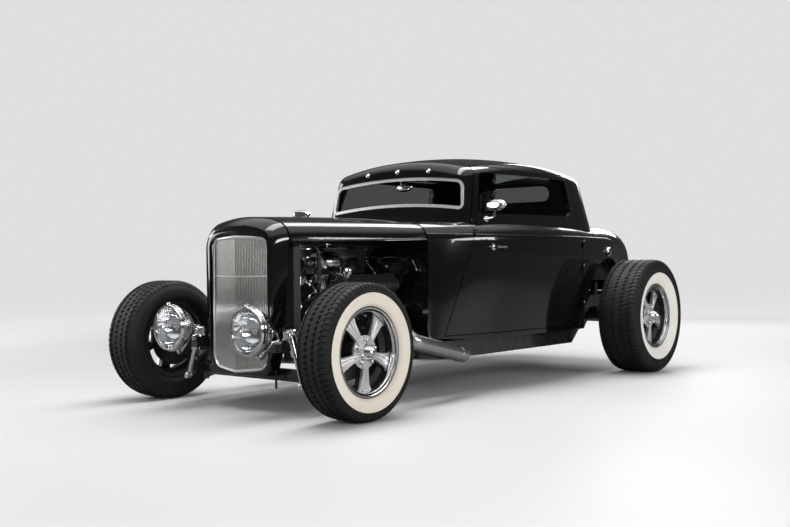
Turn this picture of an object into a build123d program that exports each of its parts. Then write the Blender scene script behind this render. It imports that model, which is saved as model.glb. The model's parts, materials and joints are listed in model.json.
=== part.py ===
from build123d import *
from math import cos, radians, sin
import os

# A fenderless early-thirties hot rod coupe, in millimetres: X points forward, Y to the car's left, Z up.
# The origin is on the floor, under the middle of the car.

os.makedirs("parts", exist_ok=True)

# Wheels and axles
FRONT_AXLE_X = 1497.0
REAR_AXLE_X = -1223.0
FRONT_TYRE_R = 323.0
FRONT_TYRE_WIDTH = 205.0
FRONT_TRACK_HALF = 700.0
REAR_TYRE_R = 371.0
REAR_TYRE_WIDTH = 270.0
REAR_TRACK_HALF = 825.0
BEAD_R = 190.5
LIP_R = 207.5
FRONT_RIM_WIDTH = 165.0
REAR_RIM_WIDTH = 222.0
RIM_WALL = 6.0
WEB_R = 186.0
WELL_R = 168.0
SPOKES = 5
SPOKE_DROP_IN = 3.0
SPOKE_DROP_OUT = 15.0
GROOVE_R = 7.0
HUB_R = 78.0
HUB_DROP = 12.0
HUB_DEPTH = 40.0
LUG_CIRCLE_R = 57.0
LUG_SEAT_R = 13.0
DISC_R = 138.0
DISC_INNER = -62.0
TYRE_WALL = 11.0
SPINDLE_R = 16.0
RUNNING_GAP = 0.08

# Name, axle x, half track, tyre radius and width, rim width, how far the spokes' face lies inside the rim's edge
WHEEL_ROWS = [
    ("front", FRONT_AXLE_X, FRONT_TRACK_HALF, FRONT_TYRE_R, FRONT_TYRE_WIDTH, FRONT_RIM_WIDTH, 18.0),
    ("rear", REAR_AXLE_X, REAR_TRACK_HALF, REAR_TYRE_R, REAR_TYRE_WIDTH, REAR_RIM_WIDTH, 40.0),
]

# Roof
ROOF_TOP_Z = 1392.0
ROOF_BASE_Z = 930.0
ROOF_CUT_Z = ROOF_TOP_Z + 48.0
ROOF_WALL = 40.0
ROOF_ARC_R = 3500.0
ROOF_CROWN_R = 2000.0
ROOF_MIDDLE_X = -350.0
ROOF_EDGE_R = 80.0

# Body
BODY_BOTTOM = 300.0
COWL_FRONT_X = 665.0
COWL_SPLIT_X = 200.0
VENT_X = 512.0
VENT_LENGTH = 58.0
VENT_HALF_WIDTH = 215.0
VENT_SEAM = 3.5
BODY_WALL = 45.0
PANEL_GAP = 5.0
DOOR_REAR_X = -765.0
DOOR_BOTTOM_Z = 332.0
DOOR_TOP_Z = ROOF_TOP_Z - 104.0
DECK_FRONT_X = -1165.0
DECK_HALF_WIDTH = 390.0
DECK_BOTTOM_Z = 520.0
DECK_CORNER_R = 70.0
TAIL_PIVOT_X = -1150.0
TAIL_PIVOT_Z = 420.0
WHEEL_ARCH_R = REAR_TYRE_R + 14.0
TAIL_LAMP_X = -1820.0
TAIL_LAMP_Y = 330.0
TAIL_LAMP_Z = 470.0
TAIL_LAMP_R = 38.0

# Front and rear x, then the front, middle and rear half widths
ROOF_BASE_PLAN = (378.0, -1112.0, 568.0, 616.0, 600.0)
ROOF_CUT_PLAN = (300.0, -1050.0, 470.0, 508.0, 480.0)
WELL_DEPTH = 90.0

# Glass
GLASS_THICKNESS = 5.0
GLASS_DEPTH = 18.0
GLASS_CLEARANCE = 0.3
SCREEN_FRAME = 18.0
SCREEN_LOW_Z = 1030.0
SCREEN_HIGH_Z = ROOF_TOP_Z - 152.0
SCREEN_LOW_W = 505.0
SCREEN_HIGH_W = 486.0
SCREEN_TOP_R = 58.0
SCREEN_BOTTOM_R = 30.0
REAR_WINDOW_Z = ROOF_TOP_Z - 188.0
REAR_WINDOW_HEIGHT = 104.0
REAR_WINDOW_W = 235.0
WINDOW_CORNER_R = 42.0

# Each corner: x, z, then the half width of the body's skin there, where the slanted cut has that x
DOOR_OUTLINE = [
    (566, DOOR_BOTTOM_Z, 515),
    (371, 890, 600),
    (344, 985, 572),
    (248, DOOR_TOP_Z, 490),
]
DOOR_EDGE_SLANT = 0.2
DOOR_CUT_Y = (440.0, 800.0)
WINDOW_TOP_Z = DOOR_TOP_Z - 34.0
WINDOW_OUTLINE = [(300, 1012), (214, WINDOW_TOP_Z), (-712, WINDOW_TOP_Z), (-712, 1022)]

# Hood and front end
HOOD_SKIN = 6.0
HOOD_HINGE_GAP = 5.0
HOOD_ROD_R = 3.0
GRILLE_HALF_WIDTH = 212.0
GRILLE_RIDGE_X = 1620.0
GRILLE_EDGE_X = 1577.0
GRILLE_BOTTOM_Z = 190.0
GRILLE_TOP_Z = 876.0
GRILLE_BARS = 41
GRILLE_BAR_HALF = 1.8
GRILLE_RIM = 13.0
GRILLE_LOW_R = 78.0
GRILLE_HIGH_R = 52.0
GRILLE_TIE_Z = 672.0
LAMP_Y = 290.0
LAMP_Z = 415.0
LAMP_R = 118.0
LAMP_FRONT_X = 1815.0
LAMP_STAND_X = FRONT_AXLE_X + 70.0
FRONT_SHOCK_Z = 402.0
SHOCK_PIN_R = 8.0

# Front axle, its heights measured from the wheels' centres
KINGPIN_Y = FRONT_TRACK_HALF - 130.0
KINGPIN_R = 11.0
KINGPIN_HALF = 67.0
BOSS_R = 24.0
BOSS_HALF = 36.0
FORK_INNER = 37.0
FORK_OUTER = 63.0
SPRING_HALF_WIDTH = 22.0
LINK_R = 12.0
LINK_EYE_R = 18.0

# Floor. Tunnel rows: x, half width at the floor, half width and height at the shoulder, half width and height on top
FLOOR_Z = 303.0
FLOOR_SHEET = 8.0
FLOOR_FRONT_X = 640.0
HEEL_X = -760.0
HEEL_TOP_X = -790.0
SHAFT_HOLE = 60.0
BOOT_FLOOR_Z = 600.0
HOUSE_Y = 440.0
BOOT_SIDE = [(-792, 570), (-1120, 540), (-1300, 512), (-1500, 466), (-1700, 420)]
HOUSE_SIDE = [(-880, 575), (-1120, 545), (-1300, 515), (-1500, 470), (-1560, 455)]
TUNNEL_WALL = 6.0
TUNNEL_BASE_Z = 280.0
TUNNEL_ROWS = [(700, 175, 153, 484, 88, 548), (-790, 110, 95, 430, 60, 470)]

# Frame
RAIL_WIDTH = 46.0
RAIL_PLAN = [(1640, 314), (1500, 322), (1200, 352), (620, 520), (250, 562), (-760, 562), (-1150, 505), (-1800, 452)]
RAIL_LOW = [(1640, 306), (1400, 311), (1050, 232), (660, 208), (-760, 208)]
RAIL_LOW += [(-960, 330), (-1090, 425), (-1350, 425), (-1520, 340), (-1800, 330)]
RAIL_TOP = [(1640, 345), (1400, 385), (1050, 372), (668, 300), (-830, 300)]
RAIL_TOP += [(-1000, 430), (-1120, 505), (-1330, 505), (-1500, 415), (-1800, 400)]
SHOCK_BAR_X = -1290.0
SHOCK_BAR_Z = 570.0
SHOCK_BAR_R = 18.0
SHOCK_HEAD_Y = 285.0
COILS = 7
EYE_R = 14.0
TAIL_BAR_X = -1786.0
TAIL_BAR_Z = 368.0
TAIL_BAR_R = 16.0

# Engine
CRANK_Z = REAR_TYRE_R - 1.0
ENGINE_FRONT_X = 1195.0
ENGINE_REAR_X = 700.0
GEARBOX_REAR_X = 60.0
GEARBOX_MOUNT_X = 150.0
CARBURETTOR_X = 930.0
ALTERNATOR_Y = 150.0
ALTERNATOR_Z = 735.0
ENGINE_BRACKET_Y = 130.0
FAN_Z = 520.0
FAN_R = 190.0
FAN_BLADES = 6
PORT_XS = (790, 888, 986, 1084)
PIPE_R = 42.0
RADIATOR_X = 1400.0

# Cabin. Dials: y of the middle, then radius
DIALS = [(150, 52), (-10, 52), (70, 24), (-85, 24), (230, 24)]
SEAT_HALF_WIDTH = 480.0

# Steering
STEERING_ARM = 150.0
DRAG_ARM = 120.0
STUD_R = 7.0
ROD_R = 10.0
ROD_END_R = 14.0
TIE_ROD_Z = FRONT_TYRE_R - 81.0
DRAG_LINK_Z = FRONT_TYRE_R - 109.0
STEERING_BOX_Z = DRAG_LINK_Z + 76.0
PITMAN_X = FRONT_AXLE_X - 207.0
PITMAN_Y = 262.0
COLUMN_LOW = (640.0, 330.0, 505.0)
COLUMN_TOP = (115.0, 330.0, 885.0)
COLUMN_R = 22.0
SHAFT_R = 10.0
SHAFT_JOINT = (800.0, 292.0, 402.0)
STEERING_WHEEL_R = 185.0


def block(x0, x1, y0, y1, z0, z1):
    """A box between two corners."""
    middle = Pos((x0 + x1) / 2, (y0 + y1) / 2, (z0 + z1) / 2)
    return middle * Box(abs(x1 - x0), abs(y1 - y0), abs(z1 - z0))


def bar(start, end, radius):
    """A round bar from one point to another."""
    run = Vector(*end) - Vector(*start)
    plane = Plane(origin=start, z_dir=run.normalized())
    return extrude(plane * Circle(radius), run.length)


def bent_pipe(points, radius, bend):
    """A round pipe along straight runs joined by arcs."""
    path = FilletPolyline(*points, radius=bend)
    section = Plane(origin=path @ 0, z_dir=path % 0) * Circle(radius)
    return sweep(section, path=path)


def across(outline, y0, y1):
    """Extrudes an outline of (x, z) points from one y to another."""
    plane = Plane(origin=(0, y0, 0), x_dir=(1, 0, 0), z_dir=(0, -1, 0))
    return extrude(plane * make_face(Polyline(*outline, close=True)), -(y1 - y0))


def along(outline, x0, x1):
    """Extrudes an outline of (y, z) points from one x to another."""
    plane = Plane(origin=(x0, 0, 0), x_dir=(0, 1, 0), z_dir=(1, 0, 0))
    return extrude(plane * make_face(Polyline(*outline, close=True)), x1 - x0)


def upright(outline, z0, z1):
    """Extrudes an outline of (x, y) points from one height to another."""
    return extrude(Plane(origin=(0, 0, z0)) * make_face(Polyline(*outline, close=True)), z1 - z0)


def turned(profile, x, z):
    """Turns a closed profile of (y, radius) points about the wheel axis at x and z."""
    points = [(x, y, z + radius) for y, radius in profile]
    face = make_face(Polyline(*points, close=True))
    return revolve(face, axis=Axis((x, 0, z), (0, 1, 0)), revolution_arc=360)


def turned_lengthwise(profile, y, z):
    """Turns a profile of (x, radius) points about a lengthwise axis at y and z."""
    points = [(x, y, z + radius) for x, radius in profile]
    face = make_face(Polyline(*points, close=True))
    return revolve(face, axis=Axis((0, y, z), (1, 0, 0)), revolution_arc=360)


def mirrored(half):
    """A closed outline of (y, z) points from its half at positive y."""
    return half + [(-y, z) for y, z in half[::-1] if y != 0]


def mirrored_plan(half):
    """A closed outline of (x, y) points from its half at positive y."""
    return half + [(x, -y) for x, y in half[::-1]]


def right_of(shape):
    """The same piece on the car's right side."""
    return mirror(shape, about=Plane.XZ)


def both(shape):
    return [shape, right_of(shape)]


def joined(pieces):
    """One solid from pieces that overlap, or a group of those that don't."""
    whole = pieces[0]
    for piece in pieces[1:]:
        whole += piece
    return whole


def save(node, *shapes):
    solids = [solid for shape in shapes for solid in shape.solids()]
    whole = solids[0] if len(solids) == 1 else Compound(solids)
    export_step(whole, f"parts/{node}.step")
    return whole


def body_outline(w_sill, w_belt, v_sill, v_belt, v_crown, corner, bow):
    """Half widths and heights of a body section, closed, with rounded shoulders and a crowned top."""
    shoulder = v_belt + (v_crown - v_belt) * 0.55
    bulge = (w_sill + w_belt) / 2 + bow
    middle = (v_sill + v_belt) / 2
    outline = [
        ThreePointArc((w_sill, v_sill), (bulge, middle), (w_belt, shoulder)),
        ThreePointArc((w_belt, shoulder), (0, v_crown), (-w_belt, shoulder)),
        ThreePointArc((-w_belt, shoulder), (-bulge, middle), (-w_sill, v_sill)),
        Line((-w_sill, v_sill), (w_sill, v_sill)),
    ]
    face = make_face(outline)
    return fillet(face.vertices().sort_by(Axis.Y)[-2:], corner).face()


def body_loft(rows, inset=0.0, sill_drop=0.0, ends=(0.0, 0.0)):
    """Lofts body sections. Each row: x, tilt from upright, sill and belt half widths, sill, belt and crown heights,
    shoulder radius, side bow. A tilted row's heights are measured out from the tail pivot."""
    faces = []
    for number, (x, tilt, w_sill, w_belt, v_sill, v_belt, v_crown, corner, bow) in enumerate(rows):
        first_last = ends[0] if number == 0 else ends[1] if number == len(rows) - 1 else 0.0
        if tilt == 0:
            plane = Plane(origin=(x + first_last, 0, 0), x_dir=(0, 1, 0), z_dir=(1, 0, 0))
        else:
            angle = radians(tilt + first_last)
            up = Vector(-sin(angle), 0, cos(angle))
            plane = Plane(origin=(TAIL_PIVOT_X, 0, TAIL_PIVOT_Z), x_dir=(0, 1, 0), z_dir=Vector(0, 1, 0).cross(up))
        outline = body_outline(
            w_sill - inset, w_belt - inset, v_sill - sill_drop, v_belt - inset, v_crown - inset, corner - inset / 2, bow
        )
        faces.append(plane * outline)
    return loft(faces)


# x, tilt, sill half width, belt half width, sill height, belt height, crown height, shoulder radius, side bow
BODY_ROWS = [
    (665, 0, 470, 480, 300, 880, 985, 110, 14),
    (380, 0, 560, 590, 300, 880, 1000, 110, 14),
    (80, 0, 605, 642, 300, 880, 1008, 110, 12),
    (-220, 0, 622, 656, 300, 880, 1010, 110, 12),
    (-520, 0, 620, 654, 300, 880, 1010, 110, 12),
    (-820, 0, 605, 638, 300, 880, 1008, 110, 12),
    (-1120, 0, 575, 608, 300, 880, 1000, 110, 12),
    (-1150, 30, 545, 572, -40, 520, 638, 110, 10),
    (-1150, 60, 505, 525, 0, 580, 712, 110, 4),
    (-1150, 90, 465, 480, 60, 540, 640, 110, 2),
]
HOOD_ROWS = [
    (1525, 0, 296, 300, 700, 858, 972, 100, 1),
    (1310, 0, 350, 354, 700, 864, 978, 100, 1),
    (1095, 0, 400, 404, 700, 868, 982, 104, 1),
    (880, 0, 444, 448, 700, 874, 984, 108, 1),
    (670, 0, 475, 479, 700, 880, 985, 110, 1),
]
HOOD_SIDE_EDGE = [(1600, 832), (600, 860), (600, 1100), (1600, 1100)]
SHELL_ROWS = [
    (1530, 0, 232, 298, 168, 840, 972, 100, 6),
    (1565, 0, 228, 272, 172, 835, 958, 100, 5),
    (1600, 0, 222, 240, 180, 825, 925, 96, 4),
]


def roof_plan(z, front_x, rear_x, front_w, middle_w, rear_w, inset):
    """The cabin's plan outline at one height."""
    f, r = front_x - inset, rear_x + inset
    wf, wm, wr = front_w - inset, middle_w - inset, rear_w - inset
    middle = (f + r) / 2
    outline = [
        Line((f, -wf), (f, wf)),
        ThreePointArc((f, wf), (middle, wm), (r, wr)),
        Line((r, wr), (r, -wr)),
        ThreePointArc((r, -wr), (middle, -wm), (f, -wf)),
    ]
    face = make_face(outline)
    corners = face.vertices().sort_by(Axis.X)
    face = fillet(corners[-2:], 90 - inset / 2)
    corners = face.vertices().sort_by(Axis.X)
    face = fillet(corners[:2], 235 - inset)
    return Plane(origin=(0, 0, z)) * face.face()


def roof_solid(inset, roof_drop, edge):
    """The cabin above the belt: a tapering prism under a crowned top, its upper edge rounded."""
    low = roof_plan(ROOF_BASE_Z, *ROOF_BASE_PLAN, inset)
    high = roof_plan(ROOF_CUT_Z, *ROOF_CUT_PLAN, inset)
    prism = loft([low, high], ruled=True)
    top = ROOF_TOP_Z - roof_drop
    side = 800.0
    edge_z = top - (ROOF_CROWN_R - (ROOF_CROWN_R**2 - side**2) ** 0.5)
    middle = Plane(origin=(ROOF_MIDDLE_X, 0, 0), x_dir=(0, 1, 0), z_dir=(1, 0, 0))
    outline = [
        Line((-side, 0), (side, 0)),
        Line((side, 0), (side, edge_z)),
        ThreePointArc((side, edge_z), (0, top), (-side, edge_z)),
        Line((-side, edge_z), (-side, 0)),
    ]
    pivot = Axis((ROOF_MIDDLE_X, 0, ROOF_TOP_Z - ROOF_ARC_R), (0, 1, 0))
    half_turn = 18.0
    barrel = revolve(middle * make_face(outline), axis=pivot, revolution_arc=2 * half_turn)
    barrel = barrel.rotate(pivot, -half_turn)
    cabin = prism & barrel
    top_edges = [e for e in cabin.edges() if e.center().Z > ROOF_BASE_Z + 250 and abs(e.tangent_at(0.5).Z) < 0.5]
    return fillet(top_edges, edge)


def grown(points, amount):
    """A convex outline moved out, or in with a negative amount."""
    face = make_face(Polyline(*points, close=True))
    return offset(face, amount, kind=Kind.INTERSECTION).face()


def door_prism(gap):
    """The door's outline through the body's side. Its front edge slants in plan, so it swings out past the cowl."""
    faces = []
    for y in DOOR_CUT_Y:
        front = [(x + DOOR_EDGE_SLANT * (y - skin_y), z) for x, z, skin_y in DOOR_OUTLINE]
        outline = front + [(DOOR_REAR_X, DOOR_TOP_Z), (DOOR_REAR_X, DOOR_BOTTOM_Z)]
        face = grown(outline, gap) if gap else make_face(Polyline(*outline, close=True))
        faces.append(Plane(origin=(0, y, 0), x_dir=(1, 0, 0), z_dir=(0, -1, 0)) * face)
    return loft(faces, ruled=True)


def window_prism(shrink):
    """The door window's outline with rounded corners, through the body's side."""
    face = grown(WINDOW_OUTLINE, -shrink) if shrink else make_face(Polyline(*WINDOW_OUTLINE, close=True))
    face = fillet(face.vertices(), WINDOW_CORNER_R)
    plane = Plane(origin=(0, DOOR_CUT_Y[0], 0), x_dir=(1, 0, 0), z_dir=(0, -1, 0))
    return extrude(plane * face, DOOR_CUT_Y[0] - DOOR_CUT_Y[1])


def tunnel_prism(grow):
    """The space under the floor's tunnel, tapering from the clutch housing to the rear axle."""
    faces = []
    for x, base_w, waist_w, waist_z, top_w, top_z in TUNNEL_ROWS:
        half = [(base_w + grow, TUNNEL_BASE_Z), (waist_w + grow, waist_z + grow / 2), (top_w + grow / 2, top_z + grow)]
        plane = Plane(origin=(x, 0, 0), x_dir=(0, 1, 0), z_dir=(1, 0, 0))
        faces.append(plane * make_face(Polyline(*mirrored(half), close=True)))
    return loft(faces, ruled=True)


def make_body():
    """The steel body: a lofted tub and a roof over it, hollow, cut into the panels that meet on the real car."""
    outer = body_loft(BODY_ROWS)
    inner = body_loft(BODY_ROWS, inset=BODY_WALL, sill_drop=40, ends=(-16, 4))
    roof_out = roof_solid(0, 0, ROOF_EDGE_R)
    roof_in = roof_solid(ROOF_WALL, ROOF_WALL, ROOF_EDGE_R - ROOF_WALL)
    well = extrude(roof_plan(ROOF_BASE_Z + 1, *ROOF_BASE_PLAN, ROOF_WALL), -WELL_DEPTH)
    roof_in = roof_in + well
    outer = outer & block(-1900, 700, -800, 800, BODY_BOTTOM, 1200)
    tub = outer - inner - roof_in
    roof = roof_out - roof_in - outer

    screen = through(screen_face(0), 200, 500)
    rear_window = through(rear_window_face(0), -1200, -900)
    roof = roof - screen - rear_window
    for opening in both(door_prism(PANEL_GAP)):
        roof -= opening
        tub -= opening
    door = ((outer + roof_out) - inner - roof_in) & door_prism(0)
    door -= window_prism(0)

    tub -= bar((REAR_AXLE_X, -900, REAR_TYRE_R), (REAR_AXLE_X, 900, REAR_TYRE_R), WHEEL_ARCH_R)
    tub -= tunnel_prism(TUNNEL_WALL + 1)
    tub -= bar(toward(COLUMN_LOW, COLUMN_TOP, -150), COLUMN_TOP, COLUMN_R + 1)

    lid = (outer - inner) & deck_slab(0)
    tub -= deck_slab(PANEL_GAP)

    seam = Ellipse(VENT_LENGTH, VENT_HALF_WIDTH) - Ellipse(VENT_LENGTH - VENT_SEAM, VENT_HALF_WIDTH - VENT_SEAM)
    tub -= extrude(Pos(VENT_X, 0, 940) * seam, 100) - body_loft(BODY_ROWS, inset=VENT_SEAM)

    save("cowl", tub & block(COWL_SPLIT_X, 700, -800, 800, 200, 1200))
    save("rear_body", tub & block(-1900, COWL_SPLIT_X, -800, 800, 200, 1200))
    save("roof", roof)
    save("decklid", lid)
    lamp = bar((TAIL_LAMP_X, TAIL_LAMP_Y, TAIL_LAMP_Z), (TAIL_LAMP_X + 80, TAIL_LAMP_Y, TAIL_LAMP_Z), TAIL_LAMP_R) - outer
    save("tail_lamps", *both(lamp))
    save("door_left", door)
    save("door_right", right_of(door))

    glass_in = roof_solid(GLASS_DEPTH, GLASS_DEPTH, ROOF_EDGE_R - GLASS_DEPTH)
    glass_back = GLASS_DEPTH + GLASS_THICKNESS
    glass_out = roof_solid(glass_back, glass_back, ROOF_EDGE_R - glass_back)
    sheet = glass_in - glass_out
    pane = sheet & window_prism(GLASS_CLEARANCE)
    save("door_glass_left", pane)
    save("door_glass_right", right_of(pane))
    rear_glass = sheet & through(rear_window_face(GLASS_CLEARANCE), -1200, -900)
    return rear_glass


def deck_slab(gap):
    """The lid's outline, pushed through the deck."""
    slab = block(-1900, DECK_FRONT_X + gap, -DECK_HALF_WIDTH - gap, DECK_HALF_WIDTH + gap, DECK_BOTTOM_Z - gap, 1100)
    front = [e for e in slab.edges().filter_by(Axis.Z) if e.center().X > DECK_FRONT_X - 10]
    low = [e for e in slab.edges().filter_by(Axis.X) if e.center().Z < DECK_BOTTOM_Z + 10]
    return fillet(front + low, DECK_CORNER_R + gap)


def screen_face(shrink):
    """The screen's outline seen from ahead, bowed above and below, with rounded corners."""
    low, high = SCREEN_LOW_Z, SCREEN_HIGH_Z
    bow = 34.0
    outline = [
        ThreePointArc((-SCREEN_LOW_W, low), (0, low + bow), (SCREEN_LOW_W, low)),
        Line((SCREEN_LOW_W, low), (SCREEN_HIGH_W, high - bow)),
        ThreePointArc((SCREEN_HIGH_W, high - bow), (0, high), (-SCREEN_HIGH_W, high - bow)),
        Line((-SCREEN_HIGH_W, high - bow), (-SCREEN_LOW_W, low)),
    ]
    face = make_face(outline)
    face = fillet(face.vertices().sort_by(Axis.Y)[-2:], SCREEN_TOP_R)
    face = fillet(face.vertices().sort_by(Axis.Y)[:2], SCREEN_BOTTOM_R).face()
    return offset(face, -shrink).face() if shrink else face


def rear_window_face(shrink):
    """A long slot with round ends."""
    height = REAR_WINDOW_HEIGHT - 2 * shrink
    face = RectangleRounded(2 * (REAR_WINDOW_W - shrink), height, height / 2 - 1)
    return Pos(0, REAR_WINDOW_Z) * face


def through(face, x0, x1):
    """Extrudes a face drawn in y and z from one x to another."""
    plane = Plane(origin=(x0, 0, 0), x_dir=(0, 1, 0), z_dir=(1, 0, 0))
    return extrude(plane * face, x1 - x0)


def make_windscreen():
    """The chromed screen frame in its opening and the glass in the frame."""
    gap = 0.5
    frame = through(screen_face(gap), 250, 460) & screen_slab(6, 24)
    frame -= through(screen_face(gap + SCREEN_FRAME), 200, 500)
    pane = through(screen_face(gap + SCREEN_FRAME + GLASS_CLEARANCE), 250, 460) & screen_slab(12, 17)
    save("windscreen_frame", frame)
    return pane


def screen_slab(front, back):
    """A slab parallel to the roof's front face, between two depths behind it."""
    low_x, high_x = 378.0, 300.0
    outline = [
        (low_x - front, ROOF_BASE_Z),
        (high_x - front, ROOF_CUT_Z),
        (high_x - back, ROOF_CUT_Z),
        (low_x - back, ROOF_BASE_Z),
    ]
    return across(outline, -700, 700)


def make_front_sheet_metal():
    """Two hood tops hinged on the middle line, the grille shell and the vee grille."""
    skin = body_loft(HOOD_ROWS) - body_loft(HOOD_ROWS, inset=HOOD_SKIN, sill_drop=30, ends=(4, -4))
    half = skin & across(HOOD_SIDE_EDGE, HOOD_HINGE_GAP, 700)
    save("hood_left", half)
    save("hood_right", right_of(half))
    rear = (COWL_FRONT_X, 0, HOOD_ROWS[-1][6] - HOOD_ROD_R)
    front = (SHELL_ROWS[0][0], 0, HOOD_ROWS[0][6] - HOOD_ROD_R)
    save("hood_hinge_rod", bar(rear, front, HOOD_ROD_R))

    shell = body_loft(SHELL_ROWS) - body_loft(SHELL_ROWS, inset=14, sill_drop=-14, ends=(-10, 20))
    opening = through(grille_face(2), 1400, 1700)
    front = body_loft(SHELL_ROWS) & block(1588, 1700, -400, 400, 100, 1000)
    shell = (shell + front) - opening
    save("grille_shell", shell)

    frame = vee_slab(0, 26) & through(grille_face(0), 1400, 1700)
    frame -= through(grille_face(-GRILLE_RIM), 1400, 1700)
    pitch = 2 * (GRILLE_HALF_WIDTH - GRILLE_RIM) / (GRILLE_BARS + 1)
    bars = []
    for number in range(GRILLE_BARS):
        y = -GRILLE_HALF_WIDTH + GRILLE_RIM + pitch * (number + 1)
        bars.append(block(1500, 1700, y - GRILLE_BAR_HALF, y + GRILLE_BAR_HALF, 100, 1000))
    tie = vee_slab(1, 22) & block(1500, 1700, -400, 400, GRILLE_TIE_Z - 1.5, GRILLE_TIE_Z + 1.5)
    back_tie = vee_slab(14, 22) & block(1500, 1700, -400, 400, 420, 426)
    grid = (joined(bars) & vee_slab(3, 21)) + tie + back_tie
    grid = grid & through(grille_face(-GRILLE_RIM + 4), 1400, 1700)
    save("grille", frame + grid)


def vee_slab(front, back):
    """A slab bent to the grille's shallow vee, between two depths behind its face."""
    edge_x = GRILLE_EDGE_X - (GRILLE_RIDGE_X - GRILLE_EDGE_X) * 0.5
    half = GRILLE_HALF_WIDTH * 1.5
    outline = [
        (edge_x - front, -half),
        (GRILLE_RIDGE_X - front, 0),
        (edge_x - front, half),
        (edge_x - back, half),
        (GRILLE_RIDGE_X - back, 0),
        (edge_x - back, -half),
    ]
    return upright(outline, 100, 1000)


def grille_face(grow):
    """The insert's outline seen from ahead: rounded shoulders, and a shallow point below."""
    w = GRILLE_HALF_WIDTH
    low, high = GRILLE_BOTTOM_Z, GRILLE_TOP_Z
    outline = [(0, low), (w, low + 20), (w, high - 10), (0, high), (-w, high - 10), (-w, low + 20)]
    face = make_face(Polyline(*outline, close=True))
    corners = [v for v in face.vertices() if abs(v.X) > 1]
    face = fillet([v for v in corners if v.Y < low + 100], GRILLE_LOW_R)
    face = fillet([v for v in face.vertices() if abs(v.X) > w - 1 and v.Y > high - 30], GRILLE_HIGH_R).face()
    return offset(face, grow).face() if grow else face


def make_floor():
    """The floor with its tunnel, heel board, boot floor and wheel houses."""
    low, high = FLOOR_Z, FLOOR_Z + FLOOR_SHEET
    cabin_side = [(x, w_sill - BODY_WALL - 3) for x, tilt, w_sill, *others in BODY_ROWS if tilt == 0 and x < 500]
    cabin_side = [(FLOOR_FRONT_X, 428)] + cabin_side[:-1] + [(HEEL_X - FLOOR_SHEET, 556)]
    cabin_side = [(x, w) for x, w in cabin_side if x >= HEEL_X - FLOOR_SHEET]
    plate = upright(mirrored_plan(cabin_side), low, high)
    between = block(HEEL_X - 4, FLOOR_FRONT_X, -300, 300, low, 700)
    tunnel = (tunnel_prism(TUNNEL_WALL) & between) - tunnel_prism(0)
    floor = (plate - tunnel_prism(0)) + tunnel

    heel = [(HEEL_X, low), (HEEL_TOP_X, BOOT_FLOOR_Z + 4), (HEEL_TOP_X - FLOOR_SHEET, BOOT_FLOOR_Z + 4)]
    heel += [(HEEL_X - FLOOR_SHEET, low)]
    floor += across(heel, -556, 556) - block(HEEL_TOP_X - 20, HEEL_X + 20, -SHAFT_HOLE, SHAFT_HOLE, 200, 450)
    boot = upright(mirrored_plan(BOOT_SIDE), BOOT_FLOOR_Z, BOOT_FLOOR_Z + FLOOR_SHEET)
    room = upright(mirrored_plan(HOUSE_SIDE), BOOT_FLOOR_Z + 2, 1000)
    for side in (-1, 1):
        start = (REAR_AXLE_X, HOUSE_Y * side, REAR_TYRE_R)
        inside = (REAR_AXLE_X, (HOUSE_Y + 6) * side, REAR_TYRE_R)
        end = (REAR_AXLE_X, 700 * side, REAR_TYRE_R)
        boot += bar(start, end, WHEEL_ARCH_R + 6) & room
        boot -= bar(inside, end, WHEEL_ARCH_R)
    save("floor", floor + boot)


def rail_top(x):
    """The height of the rails' upper face between the engine and their front ends."""
    (x0, z0), (x1, z1) = RAIL_TOP[0], RAIL_TOP[1]
    return z0 + (z1 - z0) * (x - x0) / (x1 - x0)


def make_frame():
    """Two boxed side rails, kicked up over both axles, and the members between them."""
    inside = [(x, y - RAIL_WIDTH) for x, y in RAIL_PLAN]
    plan = upright(RAIL_PLAN + inside[::-1], 150, 700)
    rail = plan & across(RAIL_TOP + RAIL_LOW[::-1], 200, 700)
    rails = joined(both(rail))
    save("frame_rails", rails)

    spring_seat = [(300, 366), (300, 328), (120, 350)]
    front = along(mirrored(spring_seat), FRONT_AXLE_X - 39, FRONT_AXLE_X + 29)
    gearbox = bar((GEARBOX_MOUNT_X, -540, 250), (GEARBOX_MOUNT_X, 540, 250), 24)
    ear = 12.0
    shocks = bar((SHOCK_BAR_X, -HOUSE_Y + 4, SHOCK_BAR_Z), (SHOCK_BAR_X, HOUSE_Y - 4, SHOCK_BAR_Z), SHOCK_BAR_R)
    for side in (-1, 1):
        inner, outer = (HOUSE_Y - 16) * side, (HOUSE_Y + 20) * side
        shocks += block(SHOCK_BAR_X - 22, SHOCK_BAR_X + 22, inner, outer, 435, SHOCK_BAR_Z + 16)
        foot = (SHOCK_BAR_X, SHOCK_HEAD_Y * side, SHOCK_BAR_Z - SHOCK_BAR_R)
        shocks += bar((foot[0], foot[1] - ear, foot[2]), (foot[0], foot[1] + ear, foot[2]), ear)
    tail = bar((TAIL_BAR_X, -440, TAIL_BAR_Z), (TAIL_BAR_X, 440, TAIL_BAR_Z), TAIL_BAR_R)
    save("frame_crossmembers", *[member - rails for member in (front, gearbox, shocks, tail)])
    return rails


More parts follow.
